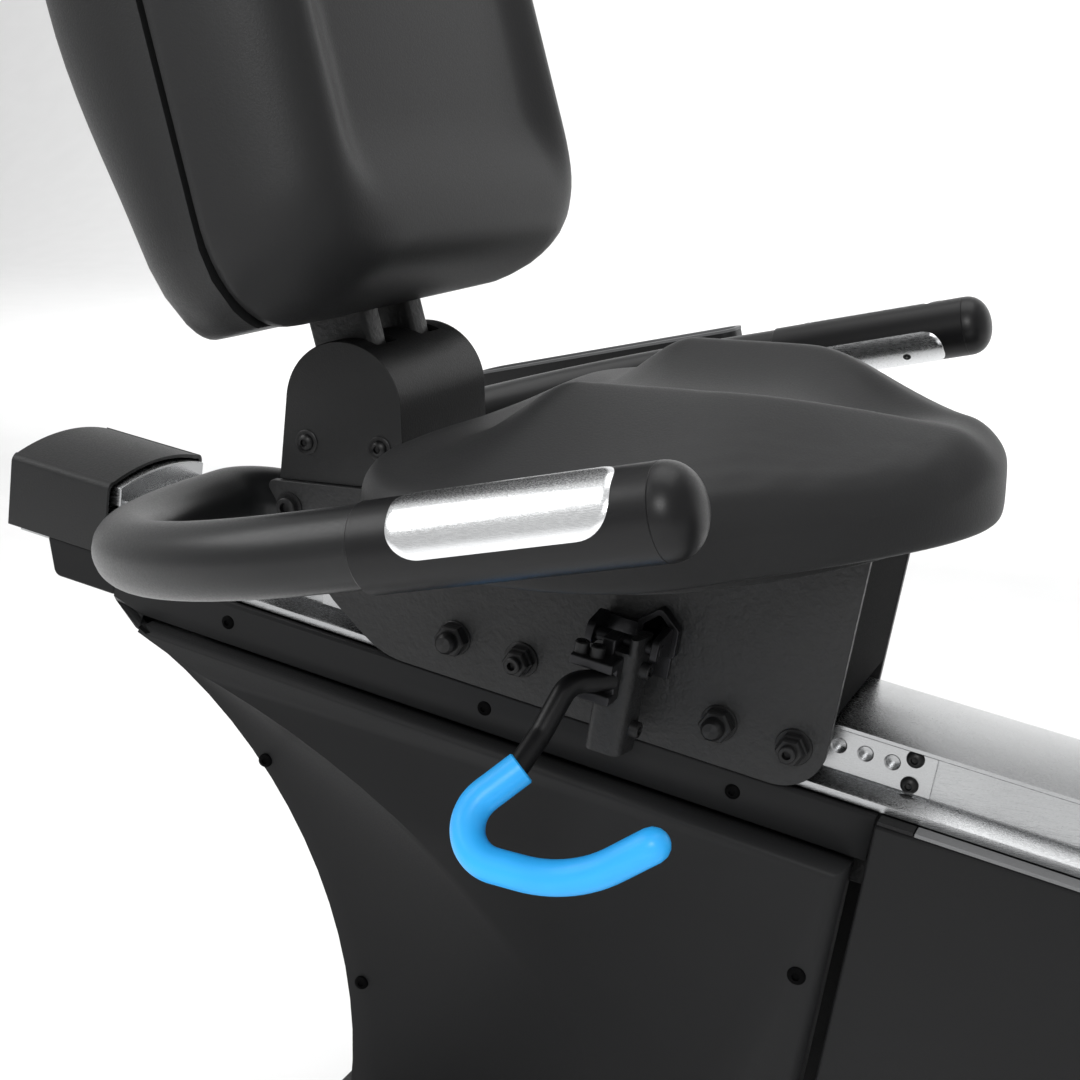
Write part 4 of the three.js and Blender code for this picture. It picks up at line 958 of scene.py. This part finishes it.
def backrest_shell():
    """Bulged back shell: a half superellipse at each height, with a flat front at the seam."""
    face = SEAM_X - 1.6
    low, high = 56.0, BACK_HIGH - 1.5
    rings = []
    heights = np.concatenate([[low, low + 1.0, low + 3.0, low + 6.0], np.linspace(low + 12, high - 60, 26),
                              high - 60 + 60 * np.sin(np.radians([12, 26, 40, 54, 68, 80, 88]))])
    for z in heights:
        bottom = max(0.0, BACK_CORNER - (z - BACK_LOW))
        top = max(0.0, BACK_SHOULDER - (BACK_HIGH - z))
        half = BACK_HALF - 0.8 - (BACK_CORNER - math.sqrt(max(BACK_CORNER ** 2 - bottom ** 2, 0)))
        half *= 0.93 + 0.07 * (BACK_HIGH - z) / (BACK_HIGH - BACK_LOW)
        half -= BACK_SHOULDER - math.sqrt(max(BACK_SHOULDER ** 2 - top ** 2, 0))
        half = max(half, 30.0)
        bulge = 74 + 42 * step_between(z, 40, 250) - 34 * step_between(z, 330, 590)
        edge = min((z - low), 6.0)
        bulge -= 6 - math.sqrt(max(36 - (6 - edge) ** 2, 0))
        bulge *= math.sqrt(max(0.05, 1 - (max(0.0, z - (high - 55)) / 58) ** 2))
        back = []
        for k in range(33):
            t = math.pi * k / 32
            cos, sin = math.cos(t), math.sin(t)
            y = half * np.sign(cos) * abs(cos) ** SHELL_POWER
            back.append((face - bulge * abs(sin) ** SHELL_POWER, y, z))
        rings.append(back)
    form = Form().rings(rings)
    piece = make("backrest_shell_moulding", form, BACK, SHELL, "backrest", ["backrest_shell"], 50)
    hollow = Form().prism(rounded([(-24, -46, 6), (22, -46), (22, 46), (-24, 46, 6)], 20), 30, 440, axis="z")
    carve(piece, hollow, BACK)


front_cover()
for side_name, side_sign in SIDES:
    carriage_plate(side_name, side_sign)
seat_cushion()
pivot_cover()
backrest_uprights()
backrest_cushion()
backrest_shell()


# ------------------------------------------------------------------ seat handlebars
TUBE_R = 19.05
SLEEVE_R = 20.9
GRIP_Y = 305.7
CAP_LENGTH = 16.5
BAR_REAR = -387.0
BAR_BEND = 216.0
BAR_LIFT = 3.0                      # the rear bend stands a little above the grips' own line


def in_bars(s, y, lift=0.0):
    """A point in the handlebar plane, as a point from the grip point."""
    return (s * math.cos(BARS_PITCH), y, s * math.sin(BARS_PITCH) + lift)


def seat_handlebar(side, sign):
    outer_corner = in_bars(BAR_REAR, sign * GRIP_Y, BAR_LIFT)
    inner_corner = in_bars(BAR_REAR, sign * 30)
    path = bent([(in_bars(-30, sign * GRIP_Y),), (outer_corner, BAR_BEND), (inner_corner, 42),
                 ((-306, sign * 30, -101),)])
    form = Form().sweep(path, TUBE_R, 40)
    make(f"seat_handlebar_{side}_tube", form, GRIP, SATIN_TUBE, "carriage", [f"seat_handlebar_{side}"])


def grip(side, sign):
    y = sign * GRIP_Y
    profile = [(TUBE_R, -140.5), (SLEEVE_R - 0.5, -140.3), (SLEEVE_R, -139.6), (SLEEVE_R, -0.3),
               (SLEEVE_R - 0.25, 0.0), (SLEEVE_R, 0.4)]
    for k in range(1, 15):
        s = CAP_LENGTH * math.sin(math.radians(90 * k / 14))
        profile.append((SLEEVE_R * max(0.0, 1 - (s / CAP_LENGTH) ** 2.2) ** (1 / 2.2), s))
    form = Form().lathe(profile, (0, y, 0), (1, 0, 0), 64)
    make(f"grip_{side}_sleeve", form, BARS, GLOSS_BLACK, "carriage", [f"grip_{side}"])


def wrapped_plate(outline, y, sign, radius, rise):
    """A thin plate bent round the sleeve; the outline's second number is the way round it."""
    outline = resampled(np.array(outline), 120)
    centre = outline.mean(0)
    rings = [[centre + (p - centre) * share for p in outline] for share in np.linspace(0.02, 1.0, 16)]
    edge = [centre + (p - centre) * 1.004 for p in outline]

    def bend(p, r):
        angle = p[1] / radius
        return (p[0], y + sign * r * math.cos(angle), r * math.sin(angle))

    skin = [[bend(p, radius + rise) for p in ring] for ring in rings]
    for r in (radius + rise * 0.6, radius - 0.4):
        skin.append([bend(p, r) for p in edge])
    return Form().rings(skin, caps=(True, False))


def sensor_plate(low, high):
    """Outline of a contact plate unrolled: along the grip, and the way round it in degrees."""
    low, high = math.radians(low) * SLEEVE_R, math.radians(high) * SLEEVE_R
    return rounded([(-119.5, low, 15), (-15.8, low, 16), (-15.8, high, 13), (-119.5, high, 11)], 6)


def grip_sensors(side, sign):
    y = sign * GRIP_Y
    outer = wrapped_plate(sensor_plate(-11, 97), y, sign, SLEEVE_R, 0.45)
    make(f"grip_sensor_{side}_outer", outer, BARS, BRUSHED, "carriage", [f"grip_sensor_{side}"],
         50)
    inner = wrapped_plate(sensor_plate(-85, 8), y, -sign, SLEEVE_R, 0.45)
    make(f"grip_sensor_{side}_inner", inner, BARS, BRUSHED, "carriage", (), 50)
    screw = Form()
    angle = math.radians(-40)
    facing = (0, -sign * math.cos(angle), math.sin(angle))
    centre = (-42.5, y + SLEEVE_R * facing[1], SLEEVE_R * facing[2])
    button_screw(screw, centre, facing, 3.0, 1.6)
    make(f"grip_screw_{side}", screw, BARS, FASTENER, "carriage")


def side_tray():
    def plan(inset):
        return rounded([(-410 + inset, 328 + inset, 10), (-182 - inset, 328 + inset, 10),
                        (-182 - inset, 362 - inset, 15), (-410 + inset, 362 - inset, 15)], 8)

    def walls(levels):
        return [[(*p, z) for p in plan(inset)] for inset, z in levels]

    low, high = -46.0, 24.0
    form = Form().rings(walls([(3, low), (0.9, low + 1), (0, low + 3.5), (0, high - 1), (0.9, high),
                               (1.9, high), (2.5, high - 0.8), (2.5, low + 2.5)]))
    form.block((-204, -182), (GRIP_Y + TUBE_R + 0.3, 328.5), (-9, 9))
    make("side_tray_moulding", form, BARS, SHELL, "carriage", ["side_tray"], 40)
    rim = Form().rings(walls([(-0.3, high - 1.6), (-0.3, high + 0.3), (0.1, high + 0.6), (2.2, high + 0.6),
                              (2.8, high + 0.2), (2.8, high - 1.6)]), caps=OPEN)
    make("side_tray_rim", rim, BARS, TRAY_RIM, "carriage", (), 40)


for side_name, side_sign in SIDES:
    seat_handlebar(side_name, side_sign)
    grip(side_name, side_sign)
    grip_sensors(side_name, side_sign)
side_tray()


# ------------------------------------------------------------------ release lever
LEVER_ROD_R = 6.35
DIPPED_R = 9.5


def release_lever():
    """A clamp block that tips about an axle along the rail and draws the locking pin."""
    pivot_v, pivot_w = -82, -150
    bracket = Form()
    foot = [(-97, -174), (-60, -174), (-60, -152), (-97, -152)]
    bracket.prism(foot, -61.5, -59.5)
    house = rounded([(-82, -159, 2), (-57, -159, 2), (-57, -142, 2), (-69.5, -131, 3), (-82, -142, 2)], 20)
    rim = rounded([(-78.5, -155.5, 2), (-60.5, -155.5, 2), (-60.5, -143.5, 2), (-69.5, -135.5, 2),
                   (-78.5, -143.5, 2)], 20)
    bracket.prism(house, -64.5, -59.5)
    raised = ((house, -64.5), (house, -66.5), (rim, -66.5), (rim, -64.5))
    bracket.rings([[(u, v, w) for u, w in ring] for ring, v in raised], caps=OPEN)
    arm = rounded([(-66, -156, 4), (-66, -139, 5), (-88, -143, 4), (-90, -156, 4)], 15)
    for u in ((-104, -99), (-64.5, -60)):
        bracket.prism(arm, *u, axis="x")
    bracket.block((-104, -60), (-64.5, -60.5), (-156, -144))
    bracket.lathe([(4, -45), (4, 0)], (-59.5, pivot_v, pivot_w), (1, 0, 0), 24)
    soften(make("lever_bracket_cast", bracket, RAIL, BLACK_STEEL, "carriage", ["lever_bracket"],
                20), 0.7, 2)

    body = rounded([(-91, -96, 4.5), (-70, -96, 7), (-67, -75, 3), (-91, -75, 3)], 12)
    block = Form().prism(body, -214, -152, axis="z")
    neck = rounded([(-75, -96, 3), (-70, -96, 3), (-67, -76, 3), (-75, -76, 3)], 15)
    block.prism(neck, -153, -143, axis="z")
    piece = make("lever_block_machined", block, RAIL, POWDER, "lever", ["lever_block"])
    soften(piece, 1.6, 3)
    clamp = Form()
    clamp.block((-102, -76), (-113, -95), (-160, -154)).block((-102, -76), (-110, -95), (-180, -174))
    clamp.block((-82, -76), (-104, -95), (-176, -158))
    clamp.block((-90, -82), (-98, -84), (-156, -145))
    soften(make("lever_clamp", clamp, RAIL, BLACK_STEEL, "lever"), 1.2, 2)
    screws = Form()
    for u in (-98, -88.5):
        socket_screw(screws, (u, -106, -154), (0, 0, 1), 4.2, 6.5)
    for w in (-163, -199):
        socket_screw(screws, (-69, -84, w), (1, 0, 0), 4.8, 5.5)
    make("lever_screws", screws, RAIL, FASTENER, "lever")

    rod = bent([((-80, -100, -167),), ((-96, -122, -167), 16), ((-100, -142, -192), 20),
                ((-103.5, -165, -209.7),)])
    make("lever_rod_bent", Form().sweep(rod, LEVER_ROD_R, 28), RAIL, GLOSS_BLACK, "lever", ["lever_rod"])
    hook = bent([((-101, -160, -206),), ((-137, -196, -250), 22), ((-50, -194, -243), 80),
                 ((-13, -190, -207),)], 3)
    start = hook[0] - (hook[1] - hook[0]) / np.linalg.norm(hook[1] - hook[0]) * 0.8
    aim = (hook[-1] - hook[-2]) / np.linalg.norm(hook[-1] - hook[-2])
    round_end = np.radians([25, 45, 62, 76, 86])
    tip = [hook[-1] + aim * DIPPED_R * math.sin(a) for a in round_end]
    radii = [DIPPED_R - 0.9] + [DIPPED_R] * len(hook) + [DIPPED_R * math.cos(a) for a in round_end]
    grip_form = Form().sweep([start] + hook + tip, radii, 36)
    make("lever_grip_dipped", grip_form, RAIL, BLUE, "lever", ["lever_grip"])

    pin = Form().lathe([(2.6, 38.7), (3.6, 39.8), (3.6, 56), (5, 56.2), (5, 73), (4.4, 73.5)],
                       (-85, 0, ROLLER_W), (0, -1, 0), 28)
    make("locking_pin_turned", pin, RAIL, BRUSHED, "pin", ["locking_pin"])


release_lever()


# ------------------------------------------------------------------ drive, pedals and base
CRANK_ARM = 170


def crank_frame(sign):
    """The crank axle's centre, turned so that X runs out to this side's pedal."""
    joint = Vector(JOINTS["crank_turn"]["pos_m"])
    pedal = Vector(JOINTS["pedal_turn_left" if sign > 0 else "pedal_turn_right"]["pos_m"])
    reach = pedal - joint
    along = Vector((reach.x, 0, reach.z)).normalized()
    matrix = Matrix.Translation(joint) @ Matrix((
        (along.x, 0, -along.z, 0), (0, 1, 0, 0), (along.z, 0, along.x, 0), (0, 0, 0, 1)))
    return matrix


def crank_and_pedal(side, sign):
    place = crank_frame(sign)
    near, far = span(sign, 94, 110)
    out = (0, sign, 0)
    sides = [(CRANK_ARM * t, 20 - 9 * step_between(t, 0.05, 0.75)) for t in np.arange(25) / 24]
    outline = [(x, -h) for x, h in sides] + arc(CRANK_ARM, 0, 15, -50, 50, 10)
    outline += [(x, h) for x, h in reversed(sides)] + arc(0, 0, 21, 110, 250, 14)
    form = Form().prism(outline, near, far)
    form.lathe([(7, 108), (7, 216)], (CRANK_ARM, 0, 0), out, 24)
    piece = make(f"crank_arm_{side}_forged", form, place, POWDER, "crank", [f"crank_arm_{side}"])
    soften(piece, 2.0, 3)
    cap = [(11, 109.5), (11, 111.5), (9.5, 112.6), (4, 112.9), (3.6, 110.5), (0, 110.4)]
    make(f"crank_bolt_{side}", Form().lathe(cap, (0, 0, 0), out, 32), place, FASTENER, "crank")

    centre = Vector(JOINTS[f"pedal_turn_{side}"]["pos_m"])
    place = Matrix.Translation((centre.x, 0, centre.z))
    body = f"pedal_{side[0]}"
    near, far = span(sign, 122, 220)
    form = Form()
    for x in ((-50, -30), (30, 50)):
        form.block(x, (near, far), (-13, 13))
    for ends, z in (((122, 132), (-11, 11)), ((208, 220), (-11, 11)), ((160, 182), (8.2, 12)),
                    ((160, 182), (-12, -8.2))):
        form.block((-30.5, 30.5), span(sign, *ends), z)
    form.lathe([(7.4, 132), (11, 132), (11, 208), (7.4, 208)], (0, 0, 0), out, 28)
    piece = make(f"pedal_{side}_body", form, place, RUBBER, body, [f"pedal_{side}"])
    soften(piece, 1.6, 2)
    treads = Form()
    for x in (-46, -41, -36, 36, 41, 46):
        for z in (12.6, -13.4):
            treads.block((x - 1.2, x + 1.2), span(sign, 126, 216), (z, z + 0.8))
    make(f"pedal_{side}_treads", treads, place, RUBBER, body)


def feet_and_base():
    for node in ("main_frame", "rear_stabilizer", "front_stabilizer"):
        dress(node, POWDER, 1.5)
    ends = Form()
    for x, half in ((-330, 300), (932, 362)):
        cap = rounded([(x - 33, -587, 6), (x + 33, -587, 6), (x + 33, -549, 9), (x - 33, -549, 9)], 15)
        for _, sign in SIDES:
            ends.prism(cap, *span(sign, half - 12, half - 0.2))
    caps = make("stabilizer_end_caps", ends, GRIP, RUBBER, "frame")
    soften(caps, 1.5, 2)
    pad = [(20, 0), (21.5, 1.2), (22, 3), (22, 7), (20.5, 9), (10, 12.5), (6, 13), (6, 45)]
    tread = [(6.4, -12), (12, -12), (14, -9), (24, -9), (26, -11.5), (29, -12), (31.4, -9.5), (32, -6)]
    tread += [(radius, -along) for radius, along in reversed(tread)]
    for side, _ in SIDES:
        for place in ("rear", "front"):
            low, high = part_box(f"levelling_foot_{place}_{side}")
            x, y = (low.x + high.x) / 2, (low.y + high.y) / 2
            foot = Form().lathe(pad, (0, 0, 0), (0, 0, 1), 48)
            make(f"levelling_foot_{place}_{side}_pad", foot, Matrix.Translation((x, y, 0)), RUBBER, "frame",
                 [f"levelling_foot_{place}_{side}"])
        hub = Vector(JOINTS[f"wheel_turn_{side}"]["pos_m"])
        wheel = Form().lathe(tread, (0, 0, 0), (0, 1, 0), 48)
        make(f"transport_wheel_{side}_moulding", wheel, Matrix.Translation(hub), RUBBER, f"wheel_{side[0]}",
             [f"transport_wheel_{side}"])


def hidden_drive():
    dress("crank_axle", BLACK_STEEL)
    dress("generator_rotor", BLACK_STEEL)
    dress("generator_stator", EXTRUDED)
    dress("drive_belt", RUBBER)
    dress("backrest_bracket", BLACK_STEEL, 0.8)
    for place in ("rear", "front"):
        for side, _ in SIDES:
            dress(f"roller_{place}_{side}", RUBBER)


for side_name, side_sign in SIDES:
    crank_and_pedal(side_name, side_sign)
feet_and_base()
hidden_drive()


# ------------------------------------------------------------------ mast and console
FLOOR_PLACE = Matrix.Translation((GRIP_POINT.x, 0, 0))
KEYS_Y = {"down": -46, "start": 0, "up": 46}
CONSOLE_AT = Vector((0.628, 0, 1.130))
CONSOLE_TILT = math.radians(30)
CONSOLE = FLOOR_PLACE @ Matrix.Translation(CONSOLE_AT) @ Matrix.Rotation(CONSOLE_TILT, 4, "Y")


def mast_and_bar():
    mast = bent([((700, 0, 560.3),), ((700, 0, 690), 300), ((736, 0, 1044.5), 60), ((658.1, 0, 1089.5),)])
    make("console_mast_tube", Form().sweep(mast, 24, 48), FLOOR_PLACE, SATIN_TUBE, "frame", ["console_mast"])
    collar = Form().lathe([(24.2, 648), (40, 648), (42, 652), (42, 660), (30, 668), (26, 676), (24.2, 676)],
                          (700, 0, 0), (0, 0, 1), 56)
    make("mast_collar", collar, FLOOR_PLACE, RUBBER, "frame")
    clamp = Form().block((668, 716), (-26, 26), (961, 1009))
    soften(make("handlebar_clamp", clamp, FLOOR_PLACE, POWDER, "frame"), 6, 4)
    bar = bent([((560, -205, 1011),), ((690, -205, 985), 55), ((690, 205, 985), 55), ((560, 205, 1011),)])
    make("front_handlebar_tube", Form().sweep(bar, 15, 36), FLOOR_PLACE, SATIN_TUBE, "frame",
         ["front_handlebar"])
    for side, sign in SIDES:
        start, end = np.array((560.0, sign * 205, 1011.0)), np.array((690.0, sign * 205, 985.0))
        along = (end - start) / np.linalg.norm(end - start)
        sleeve = [(15.4, 4), (19, 4.2), (20, 6), (20, 70), (19, 71.8), (15.4, 72)]
        make(f"front_grip_{side}_sleeve", Form().lathe(sleeve, start, along, 40), FLOOR_PLACE, FOAM, "frame",
             [f"front_grip_{side}"])


def console():
    outline = rounded([(-180, -115, 34), (180, -115, 34), (180, 115, 34), (-180, 115, 34)], 6)
    form = Form().prism(outline, 0, 46, axis="x")
    piece = make("console_housing_moulding", form, CONSOLE, MOULDED, "frame", ["console_housing"])
    recess = Form().block((-5, 3.2), (-150.3, 150.3), (-70.3, 96.3))
    carve(piece, recess, CONSOLE)
    pockets = Form()
    for y in KEYS_Y.values():
        pockets.lathe([(9.3, -5), (9.3, 9)], (0, y, -92), (1, 0, 0), 36)
    carve(piece, pockets, CONSOLE)
    soften(piece, 2.5, 3, 50)
    screen = Form().block((0.3, 3), (-150, 150), (-70, 96))
    soften(make("console_screen_glass", screen, CONSOLE, GLASS, "frame", ["console_screen"]),
           0.6, 2)
    for name, y in KEYS_Y.items():
        key = Form().lathe([(9, 6), (9, -1.2), (8.4, -1.9), (6, -2.2), (0, -2.3)], (0, y, -92), (1, 0, 0), 36)
        make(f"console_key_{name}_cap", key, CONSOLE, KEYS, f"key_{name}", [f"console_key_{name}"])


mast_and_bar()
console()


# ------------------------------------------------------------------ camera, light and floor
EYE_FROM_GRIP = Vector((0.23118, -0.93364, 0.16345))


def camera():
    azimuth, elevation = math.radians(24.547), math.radians(14.706)
    ahead = Vector((-math.sin(azimuth) * math.cos(elevation), math.cos(azimuth) * math.cos(elevation),
                    -math.sin(elevation)))
    data = bpy.data.cameras.new("camera")
    data.sensor_width = 36.0
    data.lens = 57.343
    data.clip_end = 60.0
    eye = linked("camera", data)
    eye.location = GRIP_POINT + EYE_FROM_GRIP
    eye.rotation_mode = "QUATERNION"
    eye.rotation_quaternion = ahead.to_track_quat("-Z", "Y")
    bpy.context.scene.camera = eye


def soft_light(name, place, aim, size, power):
    data = bpy.data.lights.new(name, "AREA")
    data.shape = "RECTANGLE"
    data.size, data.size_y = size
    data.energy = power
    lamp = linked(name, data)
    lamp.location = place
    lamp.rotation_mode = "QUATERNION"
    lamp.rotation_quaternion = (Vector(aim) - Vector(place)).to_track_quat("-Z", "Y")


def studio():
    world = bpy.data.worlds.new("studio")
    world.use_nodes = True
    background = world.node_tree.nodes["Background"]
    background.inputs["Color"].default_value = (1.0, 1.0, 1.0, 1.0)
    background.inputs["Strength"].default_value = 0.56
    bpy.context.scene.world = world
    bpy.context.scene.view_settings.view_transform = "Standard"
    soft_light("overhead", (-0.3, 0.5, 3.6), (-0.2, 0, 0.5), (3.0, 2.6), 50)
    soft_light("side", (-2.8, -1.2, 2.6), (-0.4, 0, 0.6), (2.2, 1.6), 45)
    soft_light("near", (0.4, -3.2, 2.4), (-0.3, 0, 0.5), (1.6, 1.2), 60)
    soft_light("backdrop", (0, 2.6, 2.6), (0, 7.5, 1.2), (7.0, 2.0), 210)

    pale = surface("studio_floor", (0.93, 0.93, 0.93), 0.75, grain=60, bump=0.02, depth=0.3, mottle=0.01)
    flat_end, sweep_r, top = 5000, 2500, 9000
    sweep = [(flat_end + sweep_r * math.sin(a), sweep_r * (1 - math.cos(a)))
             for a in np.radians(np.linspace(8, 90, 12))]
    profile = [(-9000, 0), (flat_end, 0)] + sweep + [(flat_end + sweep_r, top)]
    floor = Form().sheet([[(x, y, z) for x in (-14000, 14000)] for y, z in profile])
    mesh = mesh_of("floor", floor, Matrix())
    for face in mesh.polygons:
        face.use_smooth = True
    mesh.materials.append(pale)
    linked("floor", mesh)


camera()
studio()
